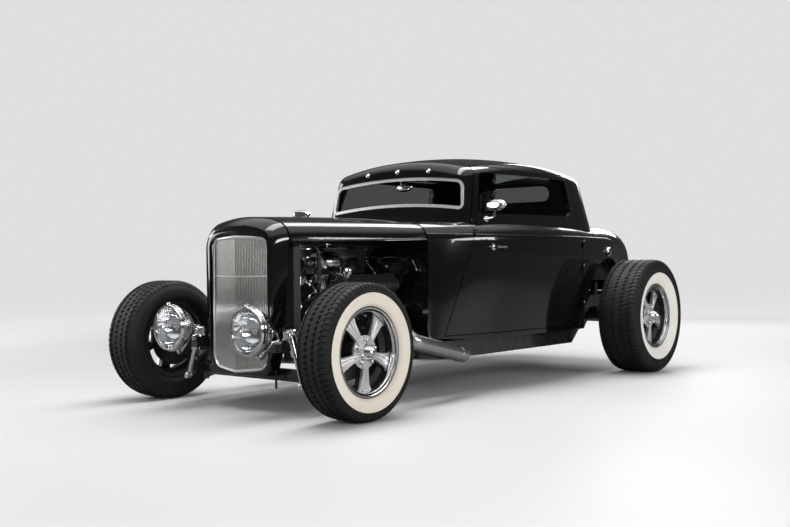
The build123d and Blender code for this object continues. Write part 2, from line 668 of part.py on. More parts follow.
def make_front_axle(rails):
    """A dropped beam axle with its kingpins, the cross spring over it, and the rods that locate both axles."""
    x, z = FRONT_AXLE_X, FRONT_TYRE_R
    half = [
        (0, z - 168),
        (410, z - 168),
        (KINGPIN_Y - 80, z - 141),
        (KINGPIN_Y - 26, z - 33),
        (KINGPIN_Y - 22, z + 35),
        (KINGPIN_Y - 58, z + 7),
        (KINGPIN_Y - 108, z - 91),
        (400, z - 110),
        (0, z - 110),
    ]
    beam = along(mirrored(half), x - 20, x + 20)
    for x0, x1 in ((x - 30, x - 8), (x + 8, x + 30)):
        beam -= block(x0, x1, -385, 385, z - 156, z - 122)
    for side in (-1, 1):
        y = KINGPIN_Y * side
        beam += bar((x, y, z - BOSS_HALF), (x, y, z + BOSS_HALF), BOSS_R)
        beam += bar((x, y, z - KINGPIN_HALF), (x, y, z + KINGPIN_HALF), KINGPIN_R)
    save("front_axle", beam)

    eye_y, end_z, thickness, rise = 400.0, 228.0, 17.0, 94.0
    face = make_face(
        [
            ThreePointArc((-eye_y, end_z), (0, end_z + rise), (eye_y, end_z)),
            Line((eye_y, end_z), (eye_y, end_z + thickness)),
            ThreePointArc((eye_y, end_z + thickness), (0, end_z + rise + 27), (-eye_y, end_z + thickness)),
            Line((-eye_y, end_z + thickness), (-eye_y, end_z)),
        ]
    )
    spring = through(face, x - SPRING_HALF_WIDTH, x + SPRING_HALF_WIDTH)
    for side in (-1, 1):
        y = (eye_y + 5) * side
        spring += bar((x - SPRING_HALF_WIDTH, y, end_z + 4), (x + SPRING_HALF_WIDTH, y, end_z + 4), 14)
    save("front_spring", spring)

    links = []
    for side in (-1, 1):
        y = 430 * side
        end = (790, 494 * side, 236)
        upper = bar((x - 40, y, z - 155), end, LINK_R)
        lower = bar((x - 40, y, z - 191), end, LINK_R)
        lug = block(x - 60, x - 21, y - 14, y + 14, z - 205, z - 123)
        eye = bar((end[0], 460 * side, end[2]), (end[0], 508 * side, end[2]), LINK_EYE_R)
        links.append((upper + lower + lug + eye) - rails)
        for axle_z, frame_z in ((430, 256), (285, 224)):
            link = bar((REAR_AXLE_X + 80, 400 * side, axle_z), (-700, 496 * side, frame_z), LINK_R)
            link += bar((REAR_AXLE_X + 80, 388 * side, axle_z), (REAR_AXLE_X + 80, 412 * side, axle_z), LINK_EYE_R)
            link += bar((-700, 484 * side, frame_z), (-700, 530 * side, frame_z), 14)
            links.append(link - rails)
    save("suspension_links", *links)


def make_steering():
    """Knuckles on the kingpins, the track rod, the cross link, its arm, the box and the column."""
    x, z = FRONT_AXLE_X, FRONT_TYRE_R
    arm_low, arm_high = z - 62, z - 48
    eye_x = x - STEERING_ARM
    drag_x = x - DRAG_ARM
    plate_y = KINGPIN_Y + 41
    fork = block(x - 32, x + 32, plate_y - 14, plate_y, z - FORK_OUTER, z + FORK_OUTER)
    for low, high in ((FORK_INNER, FORK_OUTER), (-FORK_OUTER, -FORK_INNER - 1)):
        fork += bar((x, KINGPIN_Y, z + low), (x, KINGPIN_Y, z + high), BOSS_R)
        fork += block(x - BOSS_R, x + BOSS_R, KINGPIN_Y, plate_y - 1, z + low, z + high)
    spindle = bar((x, plate_y - 6, z), (x, FRONT_TRACK_HALF + 52, z), SPINDLE_R)
    arm = block(eye_x, x, KINGPIN_Y - 10, KINGPIN_Y + 10, arm_low, arm_high)
    arm += bar((eye_x, KINGPIN_Y, arm_low), (eye_x, KINGPIN_Y, arm_high), 14)
    disc_y = FRONT_TRACK_HALF + DISC_INNER
    caliper = block(x + 80, x + 128, disc_y - 20, disc_y + 38, z - 38, z + 62)
    caliper -= bar((x, disc_y - 6, z), (x, disc_y + 18, z), DISC_R + 4)
    bracket = block(x + 20, x + 100, plate_y - 12, plate_y - 2, z - 23, z + 49)
    bracket += block(x + 80, x + 100, plate_y - 12, disc_y - 16, z - 23, z + 49)
    knuckle = fork + spindle + arm + caliper + bracket
    knuckle -= bar((x, KINGPIN_Y, z - 90), (x, KINGPIN_Y, z + 90), KINGPIN_R + RUNNING_GAP)
    knuckle -= bar((eye_x, KINGPIN_Y, arm_low - 10), (eye_x, KINGPIN_Y, arm_high + 10), STUD_R + RUNNING_GAP)
    save("knuckle_left", knuckle)
    right = right_of(knuckle)
    right -= bar((drag_x, -KINGPIN_Y, arm_low - 10), (drag_x, -KINGPIN_Y, arm_high + 10), STUD_R + RUNNING_GAP)
    save("knuckle_right", right)

    rod = bar((eye_x, -KINGPIN_Y, TIE_ROD_Z), (eye_x, KINGPIN_Y, TIE_ROD_Z), ROD_R)
    for side in (-1, 1):
        y = KINGPIN_Y * side
        rod += bar((eye_x, y, TIE_ROD_Z - 13), (eye_x, y, TIE_ROD_Z + 13), ROD_END_R)
        rod += bar((eye_x, y, TIE_ROD_Z), (eye_x, y, arm_high + 8), STUD_R)
    save("tie_rod", rod)

    pitman_end = (PITMAN_X - DRAG_ARM, PITMAN_Y)
    pitman_low, pitman_high = DRAG_LINK_Z + 23, DRAG_LINK_Z + 37
    link = bar((*pitman_end, DRAG_LINK_Z), (drag_x, -KINGPIN_Y, DRAG_LINK_Z), ROD_R)
    for end_x, end_y, top in ((*pitman_end, pitman_high + 7), (drag_x, -KINGPIN_Y, arm_high + 8)):
        link += bar((end_x, end_y, DRAG_LINK_Z - 11), (end_x, end_y, DRAG_LINK_Z + 11), ROD_END_R)
        link += bar((end_x, end_y, DRAG_LINK_Z), (end_x, end_y, top), STUD_R)
    save("drag_link", link)

    pitman = block(pitman_end[0], PITMAN_X, PITMAN_Y - 11, PITMAN_Y + 11, pitman_low, pitman_high)
    pitman += bar((*pitman_end, pitman_low), (*pitman_end, pitman_high), 15)
    pitman += bar((PITMAN_X, PITMAN_Y, pitman_low), (PITMAN_X, PITMAN_Y, pitman_high), 22)
    pitman += bar((PITMAN_X, PITMAN_Y, pitman_low + 3), (PITMAN_X, PITMAN_Y, STEERING_BOX_Z - 5), 13)
    pitman -= bar((*pitman_end, pitman_low - 7), (*pitman_end, pitman_high + 9), STUD_R + RUNNING_GAP)
    save("pitman_arm", pitman)

    box = block(PITMAN_X - 50, PITMAN_X + 50, PITMAN_Y - 45, PITMAN_Y + 22, STEERING_BOX_Z, STEERING_BOX_Z + 110)
    box = fillet(box.edges().filter_by(Axis.Z), 14)
    worm = (PITMAN_X - 50, PITMAN_Y, STEERING_BOX_Z + 70)
    nose = (PITMAN_X - 110, PITMAN_Y, STEERING_BOX_Z + 78)
    box += bar(toward(worm, nose, -20), nose, 22)
    column_foot = toward(COLUMN_LOW, COLUMN_TOP, 20)
    column = bar(toward(nose, worm, 5), SHAFT_JOINT, SHAFT_R)
    column += bar(SHAFT_JOINT, column_foot, SHAFT_R)
    for joint in (SHAFT_JOINT, COLUMN_LOW):
        column += Pos(*joint) * Sphere(16)
    column += bar(column_foot, toward(COLUMN_TOP, COLUMN_LOW, 24), COLUMN_R)
    save("steering_column", box + column)

    axis = (Vector(*COLUMN_TOP) - Vector(*COLUMN_LOW)).normalized()
    plane = Plane(origin=COLUMN_TOP, z_dir=axis)
    rim_r = 12.0
    ring = plane * Torus(STEERING_WHEEL_R - rim_r, rim_r)
    hub = plane * Cylinder(30, 36)
    length = STEERING_WHEEL_R - rim_r - 12
    spokes = [plane * (Rot(0, 0, turn) * Pos(length / 2 + 5, 0, -4) * Box(length, 26, 5)) for turn in (90, 210, 330)]
    save("steering_wheel", joined([ring, hub, *spokes]))


def toward(start, end, distance):
    """The point that lies a distance from the start on the way to the end."""
    run = (Vector(*end) - Vector(*start)).normalized()
    return tuple(Vector(*start) + run * distance)


def tyre(x, track, tyre_r, width, rim_width):
    """A hollow tyre, open towards the rim, its beads on the rim's seats."""
    h = width / 2
    b = rim_width / 2 - RIM_WALL
    bulge_r = (tyre_r + BEAD_R) / 2 - 8
    crown = [(-h * 0.42, tyre_r - 1.5), (0, tyre_r), (h * 0.42, tyre_r - 1.5)]
    left = [(b, BEAD_R), (b, BEAD_R + 18), (h * 0.97, bulge_r - 22), (h, bulge_r), (h * 0.97, bulge_r + 24)]
    left += [(h * 0.86, tyre_r - 26), (h * 0.74, tyre_r - 8)]
    outline = left + crown[::-1] + [(-y, r) for y, r in left[::-1]]
    t = TYRE_WALL
    inner = [(b - t, BEAD_R), (b - t, BEAD_R + 22), (h * 0.97 - t, bulge_r - 16), (h - t, bulge_r)]
    inner += [(h * 0.86 - t, tyre_r - 38), (0, tyre_r - 24)]
    inner_outline = [(-y, r) for y, r in inner[:-1]] + inner[::-1]
    points = [(y + track, r) for y, r in outline + inner_outline]
    return turned(points, x, tyre_r)


def wheel(x, track, tyre_r, rim_width, face_set):
    """A five spoke cast wheel with a stepped lip, its hub and its brake disc."""
    h = rim_width / 2
    t = RIM_WALL
    seat = BEAD_R - 0.3
    profile = [
        (-h, LIP_R),
        (-h + t, LIP_R),
        (-h + t, seat),
        (-h + 34, seat),
        (-h + 48, WELL_R),
        (h - 78, WELL_R),
        (h - 60, seat),
        (h - t, seat),
        (h - t, LIP_R),
        (h - 1.5, LIP_R),
        (h, LIP_R - 2),
        (h - 2, LIP_R - 8),
        (h - 9, LIP_R - 11),
        (h - 10, LIP_R - 18),
        (h - 20, seat - t),
        (h - 62, seat - t),
        (h - 81, WELL_R - t),
        (-h + 50, WELL_R - t),
        (-h + 36, seat - t),
        (-h, seat - t),
    ]
    rim = turned([(y + track, r) for y, r in profile], x, tyre_r)
    face_y = track + h - face_set
    spoke_profile = [
        (face_y - HUB_DEPTH, 20),
        (face_y - SPOKE_DROP_IN, 20),
        (face_y - SPOKE_DROP_IN, 60),
        (face_y - SPOKE_DROP_OUT, WEB_R),
        (face_y - 42, WEB_R),
        (face_y - 50, 150),
        (face_y - 52, 100),
    ]
    dish = turned(spoke_profile, x, tyre_r)
    to_wheel = Plane(origin=(x, track - h, tyre_r), x_dir=(0, 0, 1), z_dir=(0, 1, 0))
    radius_and_half_width = [(30, 21), (80, 17), (150, 30), (172, 40), (WEB_R + 2, 62)]
    blade = extrude(make_face(Polyline(*mirrored_plan(radius_and_half_width), close=True)), 2 * h)
    depth = face_y - track + h
    groove = bar((76, 0, depth - SPOKE_DROP_IN - 1), (176, 0, depth - SPOKE_DROP_OUT), GROOVE_R)
    turns = [360 / SPOKES * number for number in range(SPOKES)]
    blades = [to_wheel * (Rot(0, 0, turn + 180 / SPOKES) * (blade - groove)) for turn in turns]
    hub = bar((x, face_y - HUB_DEPTH, tyre_r), (x, face_y - HUB_DROP, tyre_r), HUB_R)
    hub += bar((x, face_y - HUB_DEPTH, tyre_r), (x, face_y, tyre_r), HUB_R / 2)
    disc = bar((x, track + DISC_INNER, tyre_r), (x, track + DISC_INNER + 12, tyre_r), DISC_R)
    bell = bar((x, track + DISC_INNER + 7, tyre_r), (x, face_y - HUB_DEPTH + 2, tyre_r), 70)
    whole = rim + (dish & joined(blades)) + hub + disc + bell
    for turn in turns:
        lug_x = x + LUG_CIRCLE_R * sin(radians(turn))
        lug_z = tyre_r + LUG_CIRCLE_R * cos(radians(turn))
        whole -= bar((lug_x, face_y - HUB_DROP - 3, lug_z), (lug_x, face_y, lug_z), LUG_SEAT_R)
    return whole - bar((x, track - 200, tyre_r), (x, face_y - 8, tyre_r), SPINDLE_R + RUNNING_GAP)


def make_wheels():
    """Narrow front and wide rear wheels, each with its tyre."""
    for name, x, track, tyre_r, width, rim_width, face_set in WHEEL_ROWS:
        rolling = wheel(x, track, tyre_r, rim_width, face_set)
        rubber = tyre(x, track, tyre_r, width, rim_width)
        save(f"{name}_wheel_left", rolling)
        save(f"{name}_wheel_right", right_of(rolling))
        save(f"{name}_tyre_left", rubber)
        save(f"{name}_tyre_right", right_of(rubber))


def make_rear_axle():
    """A live axle with its differential, and the shaft from the gearbox."""
    x, z = REAR_AXLE_X, REAR_TYRE_R
    flange_y = REAR_TRACK_HALF - 170
    axle = bar((x, -flange_y, z), (x, flange_y, z), 38)
    # Distance from the axle's middle, then radius, of the differential's case
    case = [(-96, 0), (-93, 50), (-72, 96), (-45, 118), (18, 125), (40, 112), (92, 72), (102, 52), (150, 48), (150, 0)]
    axle += turned_lengthwise([(x + ahead, r) for ahead, r in case], 0, z)
    for side in (-1, 1):
        axle += bar((x, (flange_y - 15) * side, z), (x, flange_y * side, z), 75)
        axle += bar((x, (flange_y - 5) * side, z), (x, (REAR_TRACK_HALF + 41) * side, z), SPINDLE_R)
        plate = [(x - 25, 452), (x + 62, 452), (x + 62, 270), (x + 30, 270), (x - 25, 330)]
        axle += across(plate, 400 * side - 15, 400 * side + 15)
        shock_arm = [(x + 10, 315), (x + 10, 350), (x - 40, 350), (x - 75, 316), (x - 132, 316), (x - 132, 296), (x - 40, 300)]
        axle += across(shock_arm, 300 * side - 16, 300 * side + 16)
    save("rear_axle", axle)

    front_x, rear_x = GEARBOX_REAR_X - 1, x + 151
    shaft = [(rear_x, 0), (rear_x, 46), (rear_x + 12, 46), (rear_x + 12, 28), (rear_x + 60, 28), (rear_x + 95, 38)]
    shaft += [(front_x - 95, 38), (front_x - 60, 26), (front_x, 26), (front_x, 0)]
    save("driveshaft", turned_lengthwise(shaft, 0, CRANK_Z))


def make_shocks():
    """Upright dampers on the front axle, and coil springs over dampers behind the rear one."""
    shocks = []
    for side in (-1, 1):
        high = (LAMP_STAND_X, 338 * side, FRONT_SHOCK_Z)
        low = (LAMP_STAND_X, 424 * side, FRONT_TYRE_R - 173)
        shock = bar(toward(high, low, 10), toward(high, low, 120), 24) + bar(high, low, 15)
        shock += bar((low[0] - 8, low[1], low[2]), (low[0] + 22, low[1], low[2]), 17)
        shock += bar((high[0], 326 * side, high[2]), (high[0], 350 * side, high[2]), 17)
        shocks.append(shock - bar((high[0], 300 * side, high[2]), (high[0], 360 * side, high[2]), SHOCK_PIN_R + 0.3))
        foot = (REAR_AXLE_X - 115, 300 * side, REAR_TYRE_R - 55 + EYE_R)
        head = (SHOCK_BAR_X, SHOCK_HEAD_Y * side, SHOCK_BAR_Z - SHOCK_BAR_R - 15)
        length = (Vector(*head) - Vector(*foot)).length
        outline = [(0, 0), (14, 0), (14, 36), (36, 36), (36, 42)]
        pitch = 136 / COILS
        for turn in range(COILS):
            start = 44 + turn * pitch
            outline += [(25, start), (33, start + pitch * 0.25), (33, start + pitch * 0.6), (25, start + pitch * 0.85)]
        outline += [(36, 182), (36, 188), (14, 188), (14, length), (0, length)]
        spring = revolve(make_face(Polyline(*[(r, 0, up) for r, up in outline], close=True)), axis=Axis.Z)
        coil = Plane(origin=foot, z_dir=Vector(*head) - Vector(*foot)) * spring
        coil += bar((foot[0], foot[1] - 14, foot[2]), (foot[0], foot[1] + 14, foot[2]), EYE_R)
        shocks.append(coil)
    save("shock_absorbers", *shocks)


def lamp_turned(edges, y):
    """Turns a profile of x and radius about a headlamp's axis."""
    plane = Plane(origin=(0, y, LAMP_Z), x_dir=(1, 0, 0), z_dir=(0, -1, 0))
    return revolve(plane * make_face(edges), axis=Axis((0, y, LAMP_Z), (1, 0, 0)), revolution_arc=360)


def make_lamps():
    """Hollow headlamp bowls with domed lenses, on forged stands beside the grille."""
    f, r = LAMP_FRONT_X, LAMP_R
    inner = r - 17
    bowl = [
        Line((f - 3, r - 13), (f - 3, r - 5)),
        Line((f - 3, r - 5), (f - 10, r)),
        Line((f - 10, r), (f - 22, r)),
        Line((f - 22, r), (f - 26, r - 3)),
        ThreePointArc((f - 26, r - 3), (f - 92, r - 27), (f - 140, 42)),
        ThreePointArc((f - 140, 42), (f - 149, 28), (f - 152, 12)),
        Line((f - 152, 12), (f - 152, 0)),
        Line((f - 152, 0), (f - 118, 0)),
        Line((f - 118, 0), (f - 118, 12)),
        ThreePointArc((f - 118, 12), (f - 88, r - 48), (f - 24, inner)),
        Line((f - 24, inner), (f - 20, inner)),
        Line((f - 20, inner), (f - 20, r - 13)),
        Line((f - 20, r - 13), (f - 3, r - 13)),
    ]
    rim = r - 13.5
    glass = [
        Line((f - 8, rim), (f - 19.5, rim)),
        Line((f - 19.5, rim), (f - 19.5, inner - 1)),
        Line((f - 19.5, inner - 1), (f - 15, inner - 1)),
        ThreePointArc((f - 15, inner - 1), (f - 4.6, r * 0.5), (f, 12)),
        Line((f, 12), (f, 0)),
        Line((f, 0), (f + 4.5, 0)),
        Line((f + 4.5, 0), (f + 4.5, 12)),
        ThreePointArc((f + 4.5, 12), (f + 0.5, r * 0.5), (f - 8, rim)),
    ]
    save("headlamps", *[lamp_turned(bowl, y) for y in (LAMP_Y, -LAMP_Y)])
    save("headlamp_lenses", *[lamp_turned(glass, y) for y in (LAMP_Y, -LAMP_Y)])

    x = LAMP_STAND_X
    stands = []
    for side in (-1, 1):
        arm = [(x + 45, 304, 362), (x + 91, 308, 353), (f - 80, 300, LAMP_Z - r - 21), (f - 70, LAMP_Y, LAMP_Z - r + 6)]
        stand = bent_pipe([(px, y * side, pz) for px, y, pz in arm], 10, 12)
        stand += bar((x, 304 * side, FRONT_SHOCK_Z - 36), (x, 304 * side, FRONT_SHOCK_Z), 12)
        stand += bar((x, 296 * side, FRONT_SHOCK_Z), (x, 356 * side, FRONT_SHOCK_Z), SHOCK_PIN_R)
        foot = [(px, rail_top(px) + rise) for px, rise in ((x - 15, 0.3), (x + 65, 0.3), (x + 65, 9), (x - 15, 9))]
        stand = (stand - block(x - 67, x + 33, 280 * side, 318 * side, 300, 360)) + across(foot, 286 * side, 318 * side)
        stands.append(stand)
    save("headlamp_stands", *stands)


def make_fuel_tank():
    """A flat tank under the tail, with lugs that seat on the last cross tube."""
    front_x, rear_x, low, high = -1575.0, -1764.0, 295.0, 412.0
    tank = fillet(block(rear_x, front_x, -380, 380, low, high).edges(), 30)
    for y in (-200, 200):
        tank += block(TAIL_BAR_X, rear_x + 20, y - 18, y + 18, TAIL_BAR_Z - 12, TAIL_BAR_Z + 12)
    tank -= bar((TAIL_BAR_X, -400, TAIL_BAR_Z), (TAIL_BAR_X, 400, TAIL_BAR_Z), TAIL_BAR_R)
    save("fuel_tank", tank)


def make_engine():
    """A V8 block with its heads and sump, the gearbox behind it, and the rocker covers."""
    front_x, rear_x = ENGINE_FRONT_X - 32, ENGINE_REAR_X
    z = CRANK_Z
    crankcase = [(130, z - 70), (190, z - 40), (190, z + 50), (300, z + 190), (232, z + 270), (130, z + 190)]
    engine = along(mirrored(crankcase), rear_x + 6, front_x)
    lower = [(112, z - 100), (135, z - 66)]
    engine += along(mirrored(lower), rear_x + 14, front_x - 8)
    deep = [(100, z - 155), (118, z - 98)]
    engine += along(mirrored(deep), rear_x + 20, rear_x + 290)
    engine += bar((rear_x, 0, z), (rear_x + 12, 0, z), 150)
    timing_cover = [(-80, z), (-70, z + 60), (-95, z + 170), (-52, z + 205), (52, z + 205), (95, z + 170), (70, z + 60)]
    timing_cover += [(80, z), (50, z - 70), (-50, z - 70)]
    engine += along(timing_cover, front_x - 4, ENGINE_FRONT_X)
    save("engine_block", engine)

    # Place along the car, then radius, of the clutch housing, the gear case and the tail
    case = [(rear_x, 0), (rear_x, 150), (rear_x - 14, 150), (rear_x - 20, 142), (rear_x - 150, 112), (rear_x - 160, 98)]
    case += [(330, 95), (318, 84), (190, 62), (110, 50), (GEARBOX_REAR_X, 46), (GEARBOX_REAR_X, 0)]
    gearbox = turned_lengthwise(case, 0, z)
    gearbox += block(350, rear_x - 175, -105, 105, z - 112, z - 50)
    gearbox += block(GEARBOX_MOUNT_X - 30, GEARBOX_MOUNT_X + 30, -45, 45, 262, z - 40)
    gearbox -= bar((GEARBOX_MOUNT_X, -80, 250), (GEARBOX_MOUNT_X, 80, 250), 24.5)
    save("gearbox", gearbox)

    profile = [(0, 0), (96, 0), (96, 46), (78, 66), (18, 66), (0, 46)]
    cover = along(profile, rear_x + 20, front_x - 12)
    ends = [e for e in cover.edges() if abs(e.center().X - rear_x - 20) < 1 or abs(e.center().X - front_x + 12) < 1]
    cover = chamfer([e for e in ends if e.center().Z > 20], 8)
    save("valve_covers", *both(Pos(0, 237, z + 270.5) * (Rot(-49, 0, 0) * cover)))


def make_induction():
    """The intake manifold, the carburettor and the round air cleaner on it."""
    x, z = CARBURETTOR_X, CRANK_Z
    plenum = [(125, z + 191), (70, z + 262)]
    intake = along(mirrored(plenum), x - 190, x + 210)
    intake += fillet(block(x - 60, x + 60, -55, 55, z + 261, z + 318).edges().filter_by(Axis.Z), 12)
    intake += fillet(block(x - 80, x + 80, -65, 65, z + 314, z + 360).edges().filter_by(Axis.Z), 18)
    # Radius, then height above the carburettor, of the air cleaner
    cleaner = [(0, -12), (60, -12), (66, 16), (92, 24), (150, 26), (152, 32), (146, 36), (146, 84), (152, 88), (150, 93)]
    cleaner += [(60, 98), (22, 100), (0, 100)]
    base = Plane(origin=(x, 0, z + 360), x_dir=(1, 0, 0), z_dir=(0, -1, 0))
    face = make_face(Polyline(*cleaner, close=True))
    intake += revolve(base * face, axis=Axis((x, 0, 0), (0, 0, 1)), revolution_arc=360)
    save("intake_and_air_cleaner", intake)


def pulley(x, y, z, radius, width):
    """A grooved pulley, its rear face at x."""
    rim = [(x, 0), (x, radius), (x + 4, radius), (x + width / 2, radius - 12), (x + width - 4, radius)]
    rim += [(x + width, radius), (x + width, radius - 20), (x + width - 8, radius - 24), (x + width - 8, 0)]
    return turned_lengthwise(rim, y, z)


def make_belt_drive():
    """The crank, pump and alternator pulleys with the belt round them, the fan, and the alternator."""
    x = ENGINE_FRONT_X
    y, z = ALTERNATOR_Y, ALTERNATOR_Z
    drive = pulley(x + 8, 0, CRANK_Z, 78, 28) + pulley(x + 8, 0, FAN_Z, 62, 28) + pulley(x + 8, y, z, 34, 28)
    drive += bar((x, 0, CRANK_Z), (x + 20, 0, CRANK_Z), 30) + bar((x, 0, FAN_Z), (x + 56, 0, FAN_Z), 26)
    around = [(Pos(0, CRANK_Z) * Circle(78)), (Pos(0, FAN_Z) * Circle(60)), (Pos(y, z) * Circle(34))]
    outside = make_hull(joined(around).edges())
    belt = through(outside, x + 17, x + 27) - through(offset(outside, -9).face(), x + 10, x + 40)
    drive += belt
    drive += bar((x + 50, 0, FAN_Z), (x + 60, 0, FAN_Z), 45)
    for number in range(FAN_BLADES):
        blade = Pos(0, 0, (FAN_R + 30) / 2) * Rot(0, 0, 28) * Box(3, 66, FAN_R - 30)
        drive += Pos(x + 55, 0, FAN_Z) * (Rot(number * 360 / FAN_BLADES, 0, 0) * blade)
    save("belt_drive_and_fan", drive)

    front = x - 4
    # Place along the car, then radius, of the alternator's end frames and the ring between them
    case = [(front - 128, 0), (front - 128, 46), (front - 118, 62), (front - 84, 64), (front - 82, 60), (front - 54, 60)]
    case += [(front - 52, 67), (front - 14, 66), (front - 2, 46), (front, 20), (front, 0)]
    alternator = turned_lengthwise(case, y, z) + bar((front - 6, y, z), (x + 7.5, y, z), 10)
    bracket = [(y - 30, z - 50), (y + 22, z - 50), (ENGINE_BRACKET_Y + 15, CRANK_Z + 225), (ENGINE_BRACKET_Y - 20, CRANK_Z + 230)]
    alternator += along(bracket, front - 100, front - 75)
    save("alternator", alternator)


def make_exhausts():
    """Four ports a side into a log, then a slanted pipe out behind the front wheel, its tip cut upright."""
    pipes = []
    inner_r = PIPE_R - 3
    tip = (435, 599, 211)
    start = (1075, 400, 452)
    shoulder = (1000, 642, 333)
    for side in (-1, 1):
        points = [(x, y * side, z) for x, y, z in (start, (1052, 560, 420), shoulder, tip)]
        header = bent_pipe(points, PIPE_R, 60)
        header -= bar(points[3], toward(points[3], points[2], 270), inner_r)
        header -= across([(462, 280), (380, 280), (380, 120), (570, 120)], 500 * side, 700 * side)
        log_end = (start[0] + 10, 405 * side, 452)
        log_start = (785, 335 * side, 450)
        header += bar(log_start, log_end, 26)
        flange = [(216, 453), (256, 504), (262.6, 499), (222.6, 448)]
        header += along([(y * side, z) for y, z in flange], 772, 1112)
        for x in PORT_XS:
            port_x = min(x + 26, log_end[0])
            share = (port_x - log_start[0]) / (log_end[0] - log_start[0])
            port_y = log_start[1] + (log_end[1] - log_start[1]) * share
            header += bar((x, 250 * side, 471), (port_x, port_y, 451), 20)
        pipes.append(header)
    save("exhaust_pipes", *pipes)


def make_radiator():
    """A core between two tanks, framed at the sides, with a filler neck under the hood's middle."""
    x0, x1, half, low, high = RADIATOR_X, RADIATOR_X + 52, 245.0, 382.0, 900.0
    core = block(x0 + 6, x1 - 6, -half + 14, half - 14, low + 40, high - 60)
    for z0, z1 in ((low, low + 50), (high - 70, high)):
        core += fillet(block(x0, x1, -half, half, z0, z1).edges(), 9)
    for y in (-half, half - 16):
        core += block(x0 + 2, x1 - 2, y, y + 16, low + 30, high - 40)
    core += bar(((x0 + x1) / 2, 0, high - 5), ((x0 + x1) / 2, 0, high + 16), 26)
    save("radiator", core)


def make_interior():
    """The dash panel with its round dial openings, and the bench seat over the tunnel."""
    profile = [(336, 922), (290, 922), (262, 905), (262, 790), (285, 785), (336, 820)]
    dash = across(profile, -462, 462)
    dash = fillet([e for e in dash.edges().filter_by(Axis.Y) if e.center().X < 300], 7)
    for y, r in DIALS:
        dash -= bar((250, y, 848), (272, y, 848), r)
    dash -= bar(COLUMN_LOW, COLUMN_TOP, COLUMN_R + 6)
    save("dashboard", dash)

    seat = SEAT_HALF_WIDTH
    cushion = fillet(block(-640, -150, -seat, seat, 430, 560).edges(), 40)
    base = block(-610, -190, -seat + 25, seat - 25, FLOOR_Z + FLOOR_SHEET, 450)
    squab = across([(-650, 430), (-680, 430), (-830, 900), (-740, 915)], -seat, seat)
    squab = fillet([e for e in squab.edges() if e.center().Z > 880 or abs(e.center().Y) > seat - 1], 14)
    clear_of_tunnel = tunnel_prism(TUNNEL_WALL + 3)
    save("bench_seat", (cushion + base) - clear_of_tunnel, squab - clear_of_tunnel)


def make_mirrors():
    """An oval mirror head on a curved arm, on each door."""
    arm = bent_pipe([(300, 618, 975), (318, 690, 985), (392, 742, 1035)], 6, 20)
    face = Plane(origin=(386, 748, 1046), z_dir=(1, -0.15, 0))
    depth_and_radii = [(0, 68, 31), (10, 65, 29), (23, 40, 15)]
    bowl = loft([face.offset(depth) * Ellipse(wide, high) for depth, wide, high in depth_and_radii])
    mirror_head = arm + bowl
    save("mirror_left", mirror_head)
    save("mirror_right", right_of(mirror_head))


rear_glass = make_body()
save("cabin_glass", make_windscreen(), rear_glass)
make_front_sheet_metal()
make_floor()
make_front_axle(make_frame())
make_steering()
make_wheels()
make_rear_axle()
make_shocks()
make_lamps()
make_fuel_tank()
make_engine()
make_induction()
make_belt_drive()
make_exhausts()
make_radiator()
make_interior()
make_mirrors()
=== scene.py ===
import json
from math import cos, pi, radians, sin, sqrt

import bpy
from mathutils import Matrix, Vector


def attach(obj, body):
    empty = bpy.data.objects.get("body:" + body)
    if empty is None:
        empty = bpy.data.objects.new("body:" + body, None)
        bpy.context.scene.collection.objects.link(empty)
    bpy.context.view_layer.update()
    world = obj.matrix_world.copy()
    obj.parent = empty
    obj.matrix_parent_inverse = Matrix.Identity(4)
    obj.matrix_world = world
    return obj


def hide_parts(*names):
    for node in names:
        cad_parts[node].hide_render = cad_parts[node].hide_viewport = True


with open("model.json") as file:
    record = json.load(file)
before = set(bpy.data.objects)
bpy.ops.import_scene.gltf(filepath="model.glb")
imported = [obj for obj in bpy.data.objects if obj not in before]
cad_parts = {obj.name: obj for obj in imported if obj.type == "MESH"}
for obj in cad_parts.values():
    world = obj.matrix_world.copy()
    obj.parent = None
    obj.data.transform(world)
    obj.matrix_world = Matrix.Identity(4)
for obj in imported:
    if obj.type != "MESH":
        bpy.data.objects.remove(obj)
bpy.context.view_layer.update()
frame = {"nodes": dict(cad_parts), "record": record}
nodes = frame["nodes"]
scene = bpy.context.scene
scene.view_settings.view_transform = "Standard"

# Sizes of the car that the new pieces follow, in metres: X forward, Y to the car's left, Z up
# For each wheel: the axle's x, the wheel's middle y, the tyre's radius and width, the rim's width, the band's
# outer radius, how far the spokes' face lies inside the rim's edge, and the tread's pitches
WHEELS = {
    "front_left": (1.497, 0.700, 0.323, 0.205, 0.165, 0.276, 0.018, 72),
    "front_right": (1.497, -0.700, 0.323, 0.205, 0.165, 0.276, 0.018, 72),
    "rear_left": (-1.223, 0.825, 0.371, 0.270, 0.222, 0.285, 0.040, 80),
    "rear_right": (-1.223, -0.825, 0.371, 0.270, 0.222, 0.285, 0.040, 80),
}
BEAD_R = 0.1905
LUG_CIRCLE_R = 0.057
SPOKE_TURN = radians(36)
LAMP_Y, LAMP_Z, LAMP_FRONT_X, LAMP_R = 0.290, 0.415, 1.815, 0.118
GRILLE_HALF_WIDTH, GRILLE_RIM = 0.212, 0.013
GRILLE_LOW, GRILLE_HIGH = 0.190, 0.876
GRILLE_LOW_R, GRILLE_HIGH_R = 0.078, 0.052
GRILLE_RIDGE_X, GRILLE_EDGE_X = 1.620, 1.577
GRILLE_ROD_Z = 0.672
BELT_Z = 0.889
DAMPER_X = 1.567
COVER_EDGE = (0, 0.237, 0.6405)
COVER_LEAN = radians(-49)
PORTS_X = (0.790, 0.888, 0.986, 1.084)
AIR_CLEANER_X = 0.930
DISTRIBUTOR_X = 0.752
